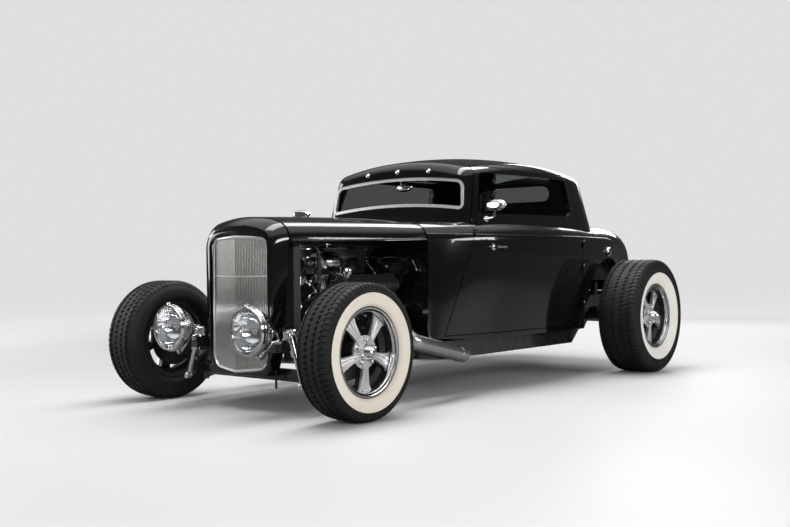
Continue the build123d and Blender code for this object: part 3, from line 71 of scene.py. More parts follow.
ALTERNATOR_Y, ALTERNATOR_Z = 0.150, 0.735
CRANK_Z, PUMP_Z = 0.370, 0.520
DASH_X, DIAL_Z = 0.2635, 0.848
NEEDLE_TURN = radians(-52)
COLUMN_LOW, COLUMN_TOP = Vector((0.640, 0.330, 0.505)), Vector((0.115, 0.330, 0.885))
SQUAB_LEAN = radians(17.5)
MIRROR_Y = Matrix.Diagonal((1, -1, 1, 1))
HANDS = ((1, "left"), (-1, "right"))
FORWARD, LEFT, UP = Vector((1, 0, 0)), Vector((0, 1, 0)), Vector((0, 0, 1))


def sign(value):
    return 1 if value > 0 else -1


# Selecting and finishing

def deselect():
    if bpy.context.object and bpy.context.object.mode != "OBJECT":
        bpy.ops.object.mode_set(mode="OBJECT")
    bpy.ops.object.select_all(action="DESELECT")


def pick(obj):
    deselect()
    obj.select_set(True)
    bpy.context.view_layer.objects.active = obj
    return obj


def edit(obj):
    """Opens a piece in edit mode with all of it selected."""
    pick(obj)
    bpy.ops.object.mode_set(mode="EDIT")
    bpy.ops.mesh.select_mode(type="VERT")
    bpy.ops.mesh.select_all(action="SELECT")


def done(obj, name, finish, smooth, slot=None, body="chassis"):
    """Puts the piece's place into its mesh, smooths it, gives it a finish and a body to ride on."""
    pick(obj)
    bpy.ops.object.transform_apply(location=True, rotation=True, scale=True)
    bpy.ops.object.shade_smooth_by_angle(angle=radians(smooth))
    obj.name = name
    obj.data.name = name
    obj.data.materials.clear()
    obj.data.materials.append(paint[finish])
    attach(obj, body)
    slot = slot or SLOT_OF.get(finish, finish)
    return obj


def mend(obj):
    """Merges doubled points and turns the faces outwards."""
    edit(obj)
    bpy.ops.mesh.remove_doubles(threshold=0.00002)
    bpy.ops.mesh.normals_make_consistent(inside=False)
    bpy.ops.object.mode_set(mode="OBJECT")
    return obj


def apply_modifier(obj, kind, **values):
    pick(obj)
    modifier = obj.modifiers.new(kind.title(), kind)
    for key, value in values.items():
        setattr(modifier, key, value)
    bpy.ops.object.modifier_apply(modifier=modifier.name)


def bevelled(obj, width, segments=2, angle=30.0):
    limit = radians(angle)
    apply_modifier(obj, "BEVEL", width=width, segments=segments, limit_method="ANGLE", angle_limit=limit)


def join(objects):
    pick(objects[0])
    for o in objects[1:]:
        o.select_set(True)
    bpy.ops.object.join()
    return bpy.context.object


def copied(obj):
    """A copy with its own mesh."""
    twin = obj.copy()
    twin.data = obj.data.copy()
    scene.collection.objects.link(twin)
    return twin


def placed(obj, matrix):
    """Moves a piece's mesh by a matrix."""
    obj.data.transform(matrix)
    if matrix.determinant() < 0:
        obj.data.flip_normals()
    return obj


def on_side(obj, side):
    """A piece modelled on the car's left, mirrored for the right."""
    return placed(obj, MIRROR_Y) if side < 0 else obj


def turned_about(place, angle, axis):
    """The matrix that turns about an axis through a place."""
    place = Vector(place)
    return Matrix.Translation(place) @ Matrix.Rotation(angle, 4, axis) @ Matrix.Translation(-place)


def facing(centre, way):
    """The matrix that stands a piece made flat round the origin at a place, facing a way."""
    return Matrix.Translation(centre) @ Vector(way).normalized().to_track_quat("Z", "Y").to_matrix().to_4x4()


def tint(obj, finish, test):
    """Gives the faces whose middle passes the test a second finish."""
    obj.data.materials.append(paint[finish])
    for face in obj.data.polygons:
        if test(face.center, face.normal):
            face.material_index = 1


# Modelling

def line_of_points(points):
    """A mesh of one line, extruded point by point, left open in edit mode."""
    deselect()
    bpy.ops.mesh.primitive_plane_add(size=0.001, location=points[0])
    obj = bpy.context.object
    bpy.ops.object.transform_apply(location=True, rotation=True, scale=True)
    bpy.ops.object.mode_set(mode="EDIT")
    bpy.ops.mesh.select_all(action="SELECT")
    bpy.ops.mesh.merge(type="CENTER")
    here = Vector(points[0])
    for point in points[1:]:
        step = Vector(point) - here
        bpy.ops.mesh.extrude_region_move(TRANSFORM_OT_translate={"value": step})
        here = Vector(point)
    return obj


def spun(profile, centre, axis, steps, closed):
    """Turns a profile of (along the axis, radius) points about an axis through the centre."""
    centre, axis = Vector(centre), Vector(axis).normalized()
    out = axis.orthogonal() if abs(axis.z) > 0.9 else UP - axis * axis.z
    out.normalize()
    obj = line_of_points([centre + axis * a + out * max(r, 0.00001) for a, r in profile])
    if closed:
        bpy.ops.mesh.select_mode(type="VERT")
        bpy.ops.object.mode_set(mode="OBJECT")
        ends = {0, len(obj.data.vertices) - 1}
        for v in obj.data.vertices:
            v.select = v.index in ends
        bpy.ops.object.mode_set(mode="EDIT")
        bpy.ops.mesh.edge_face_add()
    bpy.ops.mesh.select_all(action="SELECT")
    bpy.ops.mesh.spin(steps=steps, angle=2 * pi, center=centre, axis=axis)
    bpy.ops.object.mode_set(mode="OBJECT")
    return mend(obj)


def ring(profile, centre, axis, steps):
    """A turned piece with a hole: the profile closes on itself."""
    return spun(profile, centre, axis, steps, True)


def knob(profile, centre, axis, steps):
    """A turned piece without a hole. Its profile is given without the first point, which lies on the axis."""
    return spun([(profile[0][0], 0.0), *profile], centre, axis, steps, False)


def prism(outline, direction):
    """A flat face through the outline's points, extruded by a vector."""
    obj = line_of_points(outline)
    bpy.ops.mesh.select_all(action="SELECT")
    bpy.ops.mesh.edge_face_add()
    bpy.ops.mesh.select_all(action="SELECT")
    bpy.ops.mesh.extrude_region_move(TRANSFORM_OT_translate={"value": Vector(direction)})
    bpy.ops.object.mode_set(mode="OBJECT")
    return mend(obj)


def box(low, high, bevel=0.0, segments=2):
    low, high = Vector(low), Vector(high)
    deselect()
    bpy.ops.mesh.primitive_cube_add(size=1, location=(low + high) / 2, scale=high - low)
    obj = bpy.context.object
    bpy.ops.object.transform_apply(location=True, rotation=True, scale=True)
    if bevel:
        bevelled(obj, bevel, segments)
    return obj


def block_at(centre, size, bevel=0.0, segments=2):
    """A box by its middle and its three sizes."""
    half = Vector(size) / 2
    return box(Vector(centre) - half, Vector(centre) + half, bevel, segments)


def tube(points, radius, sides=16, smooth_path=True, closed=False):
    """A round bar or pipe along a path."""
    deselect()
    data = bpy.data.curves.new("path", "CURVE")
    data.dimensions = "3D"
    kind = "NURBS" if smooth_path and len(points) > 2 else "POLY"
    spline = data.splines.new(kind)
    spline.points.add(len(points) - 1)
    for place, point in zip(spline.points, points):
        place.co = (*point, 1)
    if kind == "NURBS":
        spline.order_u = 3
        spline.use_endpoint_u = not closed
    spline.use_cyclic_u = closed
    data.bevel_depth = radius
    data.bevel_resolution = max(sides // 4 - 1, 1)
    data.resolution_u = 6
    data.use_fill_caps = not closed
    obj = bpy.data.objects.new("path", data)
    scene.collection.objects.link(obj)
    pick(obj)
    bpy.ops.object.convert(target="MESH")
    return mend(obj)


def rod(start, end, radius, sides=24, bevel=0.0):
    """A straight round bar."""
    start, end = Vector(start), Vector(end)
    run = end - start
    turn = run.to_track_quat("Z", "Y").to_euler()
    middle = (start + end) / 2
    deselect()
    bpy.ops.mesh.primitive_cylinder_add(
        vertices=sides, radius=radius, depth=run.length, location=middle, rotation=turn)
    obj = bpy.context.object
    bpy.ops.object.transform_apply(location=True, rotation=True, scale=True)
    if bevel:
        bevelled(obj, bevel, 2, 40)
    return obj


def bolt(place, way, height, radius, bevel=0.0006):
    """A hexagon head on a surface, standing out one way."""
    return rod(place, Vector(place) + Vector(way) * height, radius, 6, bevel)


def around(obj, centre, axis, count):
    """Repeats a piece's mesh evenly round an axis."""
    edit(obj)
    bpy.ops.mesh.spin(steps=count, angle=2 * pi, dupli=True, center=centre, axis=axis)
    bpy.ops.object.mode_set(mode="OBJECT")
    return mend(obj)


def smooth_line(points, per=4):
    """More points on a smooth line through the given ones."""
    line = []
    for i in range(len(points) - 1):
        four = points[max(i - 1, 0)], points[i], points[i + 1], points[min(i + 2, len(points) - 1)]
        for step in range(per):
            t = step / per
            line.append(tuple(
                0.5 * (2 * b + (c - a) * t
                       + (2 * a - 5 * b + 4 * c - d) * t**2
                       + (3 * b - a - 3 * c + d) * t**3)
                for a, b, c, d in zip(*four)))
    line.append(tuple(points[-1]))
    return line


def spread(start, end, count):
    """Points at even steps from a start to an end."""
    return [tuple(a + (b - a) * i / count for a, b in zip(start, end)) for i in range(count + 1)]


def skin(node, start, direction):
    """Where a ray first meets a CAD panel, and the way that the panel faces there."""
    hit, place, normal, _ = nodes[node].ray_cast(Vector(start), Vector(direction).normalized())
    if not hit:
        raise ValueError(f"no surface of {node} from {tuple(start)}")
    return place, normal


# Surface effects shared by the finishes

def node_group(name, inputs, outputs):
    group = bpy.data.node_groups.new(name, "ShaderNodeTree")
    for title, default in inputs:
        socket = group.interface.new_socket(title, in_out="INPUT", socket_type="NodeSocketFloat")
        socket.default_value = default
    for title in outputs:
        group.interface.new_socket(title, in_out="OUTPUT", socket_type="NodeSocketFloat")
    return group, group.nodes.new("NodeGroupInput"), group.nodes.new("NodeGroupOutput")


def stretched_place(tree, stretch=(1, 1, 1)):
    """Places on the piece, squeezed or drawn out along the axes."""
    where = tree.nodes.new("ShaderNodeTexCoord")
    mapping = tree.nodes.new("ShaderNodeMapping")
    mapping.inputs["Scale"].default_value = stretch
    tree.links.new(where.outputs["Object"], mapping.inputs["Vector"])
    return mapping.outputs["Vector"]


def make_spread_noise(name, detail, stretch, dark, light):
    """Noise spread between a low and a high value: soft patches, or fine lines where it is drawn out."""
    group, start, end = node_group(name, [("Scale", 8), ("Low", 0), ("High", 1)], ["Value"])
    noise = group.nodes.new("ShaderNodeTexNoise")
    noise.inputs["Detail"].default_value = detail
    levels = group.nodes.new("ShaderNodeMapRange")
    levels.inputs["From Min"].default_value = dark
    levels.inputs["From Max"].default_value = light
    link = group.links.new
    link(stretched_place(group, stretch), noise.inputs["Vector"])
    link(start.outputs["Scale"], noise.inputs["Scale"])
    link(noise.outputs["Fac"], levels.inputs["Value"])
    link(start.outputs["Low"], levels.inputs["To Min"])
    link(start.outputs["High"], levels.inputs["To Max"])
    link(levels.outputs["Result"], end.inputs["Value"])
    return group


def make_grain():
    """Fine sand-cast pits and grains."""
    group, start, end = node_group("Cast grain", [("Scale", 400), ("Depth", 1)], ["Height"])
    cells = group.nodes.new("ShaderNodeTexVoronoi")
    noise = group.nodes.new("ShaderNodeTexNoise")
    noise.inputs["Detail"].default_value = 5
    add = group.nodes.new("ShaderNodeMath")
    add.operation = "ADD"
    times = group.nodes.new("ShaderNodeMath")
    times.operation = "MULTIPLY"
    link = group.links.new
    spot = stretched_place(group)
    for node in (cells, noise):
        link(spot, node.inputs["Vector"])
        link(start.outputs["Scale"], node.inputs["Scale"])
    link(cells.outputs["Distance"], add.inputs[0])
    link(noise.outputs["Fac"], add.inputs[1])
    link(add.outputs["Value"], times.inputs[0])
    link(start.outputs["Depth"], times.inputs[1])
    link(times.outputs["Value"], end.inputs["Height"])
    return group


def make_painted_wheel_shade():
    """Tells what lies nearer the car's middle than a depth: the back of a wheel, which is painted dark and
    unmetallic as painted shade behind the spokes.
    """
    group, start, end = node_group("Painted shade behind the wheel face", [("Depth", 0.75)], ["Mask", "Metal"])
    where = group.nodes.new("ShaderNodeTexCoord")
    parts = group.nodes.new("ShaderNodeSeparateXYZ")
    size = group.nodes.new("ShaderNodeMath")
    size.operation = "ABSOLUTE"
    less = group.nodes.new("ShaderNodeMath")
    less.operation = "LESS_THAN"
    metal = group.nodes.new("ShaderNodeMapRange")
    metal.inputs["To Min"].default_value = SATIN_METAL
    metal.inputs["To Max"].default_value = 0.0
    link = group.links.new
    link(where.outputs["Object"], parts.inputs["Vector"])
    link(parts.outputs["Y"], size.inputs[0])
    link(size.outputs["Value"], less.inputs[0])
    link(start.outputs["Depth"], less.inputs[1])
    link(less.outputs["Value"], metal.inputs["Value"])
    link(less.outputs["Value"], end.inputs["Mask"])
    link(metal.outputs["Result"], end.inputs["Metal"])
    return group


SATIN_METAL = 0.8
MOTTLE = make_spread_noise("Mottle", 4, (1, 1, 1), 0.3, 0.7)
GRAIN = make_grain()
PAINTED_WHEEL_SHADE = make_painted_wheel_shade()
BRUSHED_LENGTHWISE = make_spread_noise("Brushed lengthwise", 3, (0.04, 1, 1), 0, 1)
BRUSHED_UPRIGHT = make_spread_noise("Brushed upright", 3, (1, 1, 0.03), 0, 1)


class Finish:
    """A material with one Principled shader, and the links that feed it."""

    def __init__(self, name, colour, roughness, metallic=0.0, **plain):
        self.material = bpy.data.materials.new(name)
        self.material.use_nodes = True
        self.tree = self.material.node_tree
        self.shader = self.tree.nodes["Principled BSDF"]
        self.shader.inputs["Base Color"].default_value = (*colour, 1)
        self.shader.inputs["Roughness"].default_value = roughness
        self.shader.inputs["Metallic"].default_value = metallic
        for key, value in plain.items():
            self.shader.inputs[key.replace("_", " ")].default_value = value

    def group(self, group, output, **values):
        node = self.tree.nodes.new("ShaderNodeGroup")
        node.node_tree = group
        for key, value in values.items():
            node.inputs[key].default_value = value
        return node.outputs[output]

    def feed(self, source, socket):
        self.tree.links.new(source, self.shader.inputs[socket])

    def rough(self, scale, low, high, pattern=MOTTLE):
        """Roughness that drifts between two values."""
        self.feed(self.group(pattern, "Value", Scale=scale, Low=low, High=high), "Roughness")
        return self

    def two_tone(self, mask, one, other):
        """Base colour between two colours by a mask."""
        mix = self.tree.nodes.new("ShaderNodeMix")
        mix.data_type = "RGBA"
        mix.inputs["A"].default_value = (*one, 1)
        mix.inputs["B"].default_value = (*other, 1)
        self.tree.links.new(mask, mix.inputs["Factor"])
        self.feed(mix.outputs["Result"], "Base Color")
        return self

    def patchy(self, scale, one, other):
        """Base colour that drifts between two colours."""
        return self.two_tone(self.group(MOTTLE, "Value", Scale=scale, Low=0, High=1), one, other)

    def bump(self, height, strength, distance):
        bump = self.tree.nodes.new("ShaderNodeBump")
        bump.inputs["Strength"].default_value = strength
        bump.inputs["Distance"].default_value = distance
        self.tree.links.new(height, bump.inputs["Height"])
        self.feed(bump.outputs["Normal"], "Normal")
        return self

    def grainy(self, scale, strength, distance):
        """Fine cast grain in the surface."""
        return self.bump(self.group(GRAIN, "Height", Scale=scale, Depth=1), strength, distance)


def make_paints(made):
    f = Finish("body paint", (0.003, 0.003, 0.0035), 0.16,
               Coat_Weight=1.0, Coat_Roughness=0.02, Specular_IOR_Level=0.15)
    f.rough(3, 0.12, 0.2)
    made["body_paint"] = f.bump(f.group(MOTTLE, "Value", Scale=260, Low=0, High=1), 0.02, 0.0003)

    f = Finish("chassis paint", (0.008, 0.008, 0.009), 0.24, Coat_Weight=0.7, Coat_Roughness=0.08)
    made["black_paint"] = f.rough(9, 0.18, 0.34).patchy(14, (0.007, 0.007, 0.008), (0.016, 0.015, 0.014))

    f = Finish("engine enamel", (0.012, 0.012, 0.013), 0.35, Coat_Weight=0.3)
    made["engine_paint"] = f.rough(20, 0.28, 0.5).grainy(300, 0.2, 0.0006)

    f = Finish("black wrinkle finish", (0.014, 0.014, 0.014), 0.55)
    made["black_crinkle"] = f.rough(60, 0.48, 0.64).grainy(700, 0.6, 0.0008)


def make_metals(made):
    made["spring_steel"] = Finish("spring steel", (0.014, 0.014, 0.015), 0.42).rough(30, 0.34, 0.5)
    made["chrome"] = Finish("chrome", (0.84, 0.85, 0.87), 0.05, 1.0).rough(12, 0.03, 0.08)

    f = Finish("cast steel", (0.02, 0.02, 0.021), 0.45, 0.3)
    made["cast_steel"] = f.rough(25, 0.36, 0.55).grainy(420, 0.25, 0.0006)

    f = Finish("polished stainless", (0.72, 0.71, 0.7), 0.2, 1.0)
    f.rough(340, 0.12, 0.34, BRUSHED_LENGTHWISE)
    made["polished_steel"] = f.patchy(5, (0.76, 0.75, 0.74), (0.66, 0.64, 0.61))

    made["grille_steel"] = Finish("grille steel", (0.82, 0.81, 0.78), 0.2, 1.0).rough(4, 0.17, 0.21)

    f = Finish("polished aluminium", (0.8, 0.8, 0.81), 0.12, 1.0)
    made["polished_aluminium"] = f.rough(26, 0.07, 0.2).patchy(8, (0.84, 0.84, 0.85), (0.72, 0.72, 0.73))

    f = Finish("cast aluminium", (0.55, 0.55, 0.56), 0.42, 1.0)
    made["cast_aluminium"] = f.rough(30, 0.34, 0.52).grainy(500, 0.3, 0.0005)

    f = Finish("radiator core", (0.05, 0.05, 0.05), 0.45, 0.6)
    made["radiator_core"] = f.rough(500, 0.35, 0.6, BRUSHED_UPRIGHT)


def make_wheel_metals(made):
    """Satin metal, and the same with a black back painted in as shade behind the spokes, whose depth differs
    front and rear.
    """
    f = Finish("satin wheel metal", (0.8, 0.8, 0.8), 0.3, SATIN_METAL)
    made["wheel_metal"] = f.rough(7, 0.27, 0.33).patchy(5, (0.82, 0.815, 0.81), (0.78, 0.775, 0.77))
    for end, depth in (("front", 0.742), ("rear", 0.870)):
        f = Finish(f"{end} wheel metal", (0.8, 0.8, 0.8), 0.3, SATIN_METAL)
        # The near-black back is painted shade, seen through the windows between the spokes.
        f.two_tone(f.group(PAINTED_WHEEL_SHADE, "Mask", Depth=depth), (0.8, 0.795, 0.79), (0.012, 0.012, 0.012))
        f.rough(7, 0.27, 0.33)
        f.feed(f.group(PAINTED_WHEEL_SHADE, "Metal", Depth=depth), "Metallic")
        made[f"{end}_wheel"] = f


def make_rubbers_and_plastics(made):
    f = Finish("tyre rubber", (0.008, 0.008, 0.008), 0.6, Specular_IOR_Level=0.3)
    f.rough(18, 0.5, 0.7).patchy(11, (0.006, 0.006, 0.006), (0.012, 0.012, 0.0115))
    made["tyre"] = f.grainy(900, 0.15, 0.0004)

    f = Finish("cream band", (0.78, 0.73, 0.62), 0.5)
    made["cream_band"] = f.rough(12, 0.42, 0.58).patchy(6, (0.80, 0.75, 0.64), (0.75, 0.69, 0.57))

    f = Finish("white band", (0.82, 0.8, 0.74), 0.5)
    made["white_band"] = f.rough(12, 0.42, 0.58).patchy(6, (0.84, 0.82, 0.77), (0.79, 0.76, 0.69))

    f = Finish("wheel rim plastic", (0.012, 0.012, 0.012), 0.35, Coat_Weight=0.3)
    made["wheel_rim_plastic"] = f.rough(40, 0.28, 0.42)

    f = Finish("black moulding", (0.012, 0.012, 0.012), 0.5)
    made["black_moulding"] = f.rough(45, 0.42, 0.6).grainy(900, 0.15, 0.0003)


def make_glasses(made):
    f = Finish("red lens", (0.32, 0.008, 0.008), 0.12, Coat_Weight=0.8)
    made["red_lens"] = f.rough(50, 0.08, 0.16)
    f = Finish("clear glass", (0.93, 0.96, 0.95), 0.02, Transmission_Weight=1.0, IOR=1.1)
    made["clear_glass"] = f.rough(3, 0.0, 0.02)
    f = Finish("lamp glass", (0.98, 0.99, 0.99), 0.1, Transmission_Weight=1.0, IOR=1.45)
    made["lamp_glass"] = f.rough(20, 0.08, 0.16)
    made["mirror"] = Finish("mirror glass", (0.9, 0.91, 0.92), 0.01, 1.0).rough(4, 0.0, 0.015)


def make_trims(made):
    f = Finish("dark hide", (0.018, 0.016, 0.015), 0.46)
    f.rough(30, 0.38, 0.56).patchy(9, (0.015, 0.014, 0.013), (0.028, 0.025, 0.023))
    made["leather"] = f.grainy(600, 0.4, 0.0006)

    f = Finish("carpet", (0.02, 0.02, 0.02), 0.95)
    made["carpet"] = f.patchy(180, (0.008, 0.008, 0.008), (0.035, 0.034, 0.033)).grainy(500, 0.9, 0.002)

    f = Finish("filter gauze", (0.03, 0.028, 0.026), 0.7)
    made["filter_gauze"] = f.patchy(120, (0.036, 0.033, 0.03), (0.02, 0.019, 0.018))

    made["dial_face"] = Finish("dial face", (0.03, 0.03, 0.032), 0.6).rough(90, 0.5, 0.68)
    made["dial_mark"] = Finish("dial mark", (0.82, 0.80, 0.72), 0.55).rough(90, 0.5, 0.62)


def make_finishes():
    made = {}
    make_paints(made)
    make_metals(made)
    make_wheel_metals(made)
    make_rubbers_and_plastics(made)
    make_glasses(made)
    make_trims(made)
    return {name: f.material for name, f in made.items()}


paint = make_finishes()

# The record's slot of the finishes that have no slot of their own
SLOT_OF = {
    "lamp_glass": "clear_glass",
    "mirror": "chrome",
    "grille_steel": "polished_steel",
    "filter_gauze": "polished_aluminium",
    "black_moulding": "black_crinkle",
    "dial_face": "body_paint",
    "dial_mark": "chrome",
    "carpet": "leather",
    "wheel_metal": "polished_aluminium",
    "cast_aluminium": "polished_aluminium",
}

# The CAD nodes whose finish is finer than their slot says
NODE_FINISH = {
    "headlamp_lenses": "lamp_glass",
    "front_wheel_left": "front_wheel",
    "front_wheel_right": "front_wheel",
    "rear_wheel_left": "rear_wheel",
    "rear_wheel_right": "rear_wheel",
    "grille": "grille_steel",
    "alternator": "polished_aluminium",
    "intake_and_air_cleaner": "polished_aluminium",
    "windscreen_frame": "wheel_metal",
    "floor": "carpet",
}


def finish_cad_nodes():
    slots = {part["node"]: part["material_slot"] for part in frame["record"]["subparts"]}
    for name, obj in nodes.items():
        obj.data.materials.clear()
        obj.data.materials.append(paint[NODE_FINISH.get(name) or slots[name]])


# Stage

FLOOR_COLOUR = (0.66, 0.655, 0.65)
FLOOR_IN_REFLECTIONS = (0.20, 0.20, 0.20)
FLOOR_GLOW, GLOW_FROM, GLOW_FULL = 0.52, 2.0, 9.0
BACKDROP = 0.74
FILL = (0.30, 0.30, 0.31)

# Each lamp's place, what it looks at, its width and height, and its power in watts
LAMPS = {
    "overhead": ((0.3, 0.0, 4.2), (0.3, 0, 0), (6.5, 1.6), 240),
    "front left": ((5.2, 6.0, 2.6), (0.4, 0, 0.6), (2.6, 1.2), 150),
    "left side": ((-2.5, 6.5, 2.2), (-0.5, 0, 0.6), (3.6, 0.9), 110),
    "right side": ((2.0, -6.5, 3.0), (0, 0, 0.6), (4.0, 1.8), 110),
    "front right": ((4.4, -5.9, 1.5), (1.4, 0, 0.6), (2.4, 2.0), 75),
    "rear": ((-6.0, -1.0, 3.0), (-0.5, 0, 0.6), (3.0, 1.8), 90),
}


def make_floor():
    """A pale floor that grows lighter towards the backdrop for the camera, and is darker in reflections."""
    deselect()
    bpy.ops.mesh.primitive_plane_add(size=160, location=(0, 0, 0))
    floor = bpy.context.object
    floor.name = "studio_floor"
    ground = Finish("studio floor", FLOOR_COLOUR, 0.5, Specular_IOR_Level=0.25).rough(0.6, 0.45, 0.55)
    tree = ground.tree
    where = tree.nodes.new("ShaderNodeTexCoord")
    away = tree.nodes.new("ShaderNodeVectorMath")
    away.operation = "LENGTH"
    fade = tree.nodes.new("ShaderNodeMapRange")
    fade.interpolation_type = "SMOOTHSTEP"
    fade.inputs["From Min"].default_value = GLOW_FROM
    fade.inputs["From Max"].default_value = GLOW_FULL
    fade.inputs["To Max"].default_value = FLOOR_GLOW
    path = tree.nodes.new("ShaderNodeLightPath")
    seen = tree.nodes.new("ShaderNodeMath")
    seen.operation = "MULTIPLY"
    tree.links.new(where.outputs["Object"], away.inputs[0])
    tree.links.new(away.outputs["Value"], fade.inputs["Value"])
    tree.links.new(fade.outputs["Result"], seen.inputs[0])
    tree.links.new(path.outputs["Is Camera Ray"], seen.inputs[1])
    tree.links.new(seen.outputs["Value"], ground.shader.inputs["Emission Strength"])
    ground.shader.inputs["Emission Color"].default_value = (1, 1, 1, 1)
    ground.two_tone(path.outputs["Is Glossy Ray"], FLOOR_COLOUR, FLOOR_IN_REFLECTIONS)
    floor.data.materials.append(ground.material)


def make_backdrop():
    """An even fill, a pale backdrop for the camera, and a ceiling that brightens upwards in reflections."""
    world = bpy.data.worlds.new("studio")
    scene.world = world
    world.use_nodes = True
    tree = world.node_tree
    path = tree.nodes.new("ShaderNodeLightPath")
    fill = tree.nodes["Background"]
    fill.inputs["Color"].default_value = (*FILL, 1)
    where = tree.nodes.new("ShaderNodeTexCoord")
    parts = tree.nodes.new("ShaderNodeSeparateXYZ")
    ceiling = tree.nodes.new("ShaderNodeMapRange")
    ceiling.interpolation_type = "SMOOTHSTEP"
    for title, value in (("From Min", 0.5), ("From Max", 0.75), ("To Min", 0.07), ("To Max", 1.0)):
        ceiling.inputs[title].default_value = value
    tree.links.new(where.outputs["Generated"], parts.inputs["Vector"])
    tree.links.new(parts.outputs["Z"], ceiling.inputs["Value"])
    light = fill.outputs["Background"]
    for ray in ("Is Glossy Ray", "Is Camera Ray"):
        other = tree.nodes.new("ShaderNodeBackground")
        other.inputs["Color"].default_value = (BACKDROP, BACKDROP, BACKDROP, 1)
        if ray == "Is Glossy Ray":
            tree.links.new(ceiling.outputs["Result"], other.inputs["Color"])
        mix = tree.nodes.new("ShaderNodeMixShader")
        tree.links.new(path.outputs[ray], mix.inputs["Fac"])
        tree.links.new(light, mix.inputs[1])
        tree.links.new(other.outputs["Background"], mix.inputs[2])
        light = mix.outputs["Shader"]
    tree.links.new(light, tree.nodes["World Output"].inputs["Surface"])


def make_lamps():
    for name, (place, target, size, power) in LAMPS.items():
        data = bpy.data.lights.new(name, "AREA")
        data.shape = "RECTANGLE"
        data.size, data.size_y = size
        data.energy = power
        obj = bpy.data.objects.new(name, data)
        obj.location = place
        obj.rotation_euler = (Vector(target) - Vector(place)).to_track_quat("-Z", "Y").to_euler()
        scene.collection.objects.link(obj)


def make_camera():
    """A camera at the photograph's viewing angle."""
    yaw, pitch, roll = radians(39.379), radians(0.055), radians(-0.441)
    place = (4.961, 3.78, 0.735)
    sensor_width = 36.0
    look = Vector((-cos(yaw) * cos(pitch), -sin(yaw) * cos(pitch), -sin(pitch)))
    right = look.cross(UP).normalized()
    up = right.cross(look)
    right, up = right * cos(roll) + up * sin(roll), up * cos(roll) - right * sin(roll)
    data = bpy.data.cameras.new("camera")
    data.sensor_width = sensor_width
    data.lens = 996.5 / 790 * sensor_width
    data.clip_start, data.clip_end = 0.05, 200
    obj = bpy.data.objects.new("camera", data)
    obj.matrix_world = Matrix.Translation(place) @ Matrix((right, up, -look)).transposed().to_4x4()
    scene.collection.objects.link(obj)
    scene.camera = obj


# Tyres

TREAD_DEPTH = 0.008
RING_RISE = 0.0014


def make_carcass(name):
    """The tyre without its tread, turned from one closed section of walls, crown, beads and lining."""
    x, track, z, width, rim_width, band_r, _, _ = WHEELS[name]
    front = name.startswith("front")
    h, seat, wall = width / 2, rim_width / 2 - 0.006, 0.011
    bulge_r, floor_r, shoulder_r = (z + BEAD_R) / 2 - 0.008, z - TREAD_DEPTH, z - 0.024
    start = [(seat, 0.2095), (h * 0.965, bulge_r - 0.024), (h * 0.993, bulge_r)]
    outer_wall = smooth_line([*start, (h * 0.985, bulge_r + 0.026), (h * 0.925, shoulder_r)], 6)
    inner_wall = outer_wall
    if front:
        # A rounder inner shoulder, which keeps clear of the links at full lock
        inner_wall = smooth_line([*start, (h * 0.95, bulge_r + 0.026), (h * 0.84, shoulder_r)], 6)

    def reach(side_wall, r):
        for (a0, r0), (a1, r1) in zip(side_wall, side_wall[1:]):
            if r0 <= r <= r1:
                return a0 + (a1 - a0) * (r - r0) / (r1 - r0)
        return side_wall[-1][0]

    rings = [(0.2095, 0), (0.2115, 0)]
    rings += [(r, RING_RISE) for r in (0.2122, 0.219, 0.228, 0.237, 0.246, 0.255, 0.264, band_r - 0.0006)]
    rings += [(band_r + 0.0002, 0), (band_r + 0.005, 0), (band_r + 0.0056, 0.0009), (band_r + 0.0076, 0.0009)]
    rings += [(band_r + 0.0082, 0), (z - 0.031, 0), (shoulder_r, 0)]
    outside = [(reach(outer_wall, r) + rise, r) for r, rise in rings]
    inside = [(-reach(inner_wall, r), r) for r, _ in rings]
    crown = [(h * 0.895, z - 0.014), (h * 0.80, floor_r - 0.0015), (h * 0.70, floor_r),
             (h * 0.36, floor_r + 0.0012)]
    far_side = [(-a, r) for a, r in crown[::-1]]
    if front:
        far_side[2:] = [(-h * 0.73, floor_r - 0.003), (-h * 0.80, z - 0.016)]
    crown += [(0, floor_r + 0.0016), *far_side]
    lining = [(h * 0.8 - wall, z - 0.034), (h - 1.3 * wall, bulge_r), (seat - wall, BEAD_R + 0.001)]
    lining += [(seat - 0.004, BEAD_R + 0.0006), (seat, BEAD_R + 0.0006)]
    lining = [(-a, r) for a, r in lining[::-1]] + [(0, shoulder_r)] + lining
    return spun(outside + crown + inside[::-1] + lining, (x, track, z), LEFT * sign(track), 96, True)


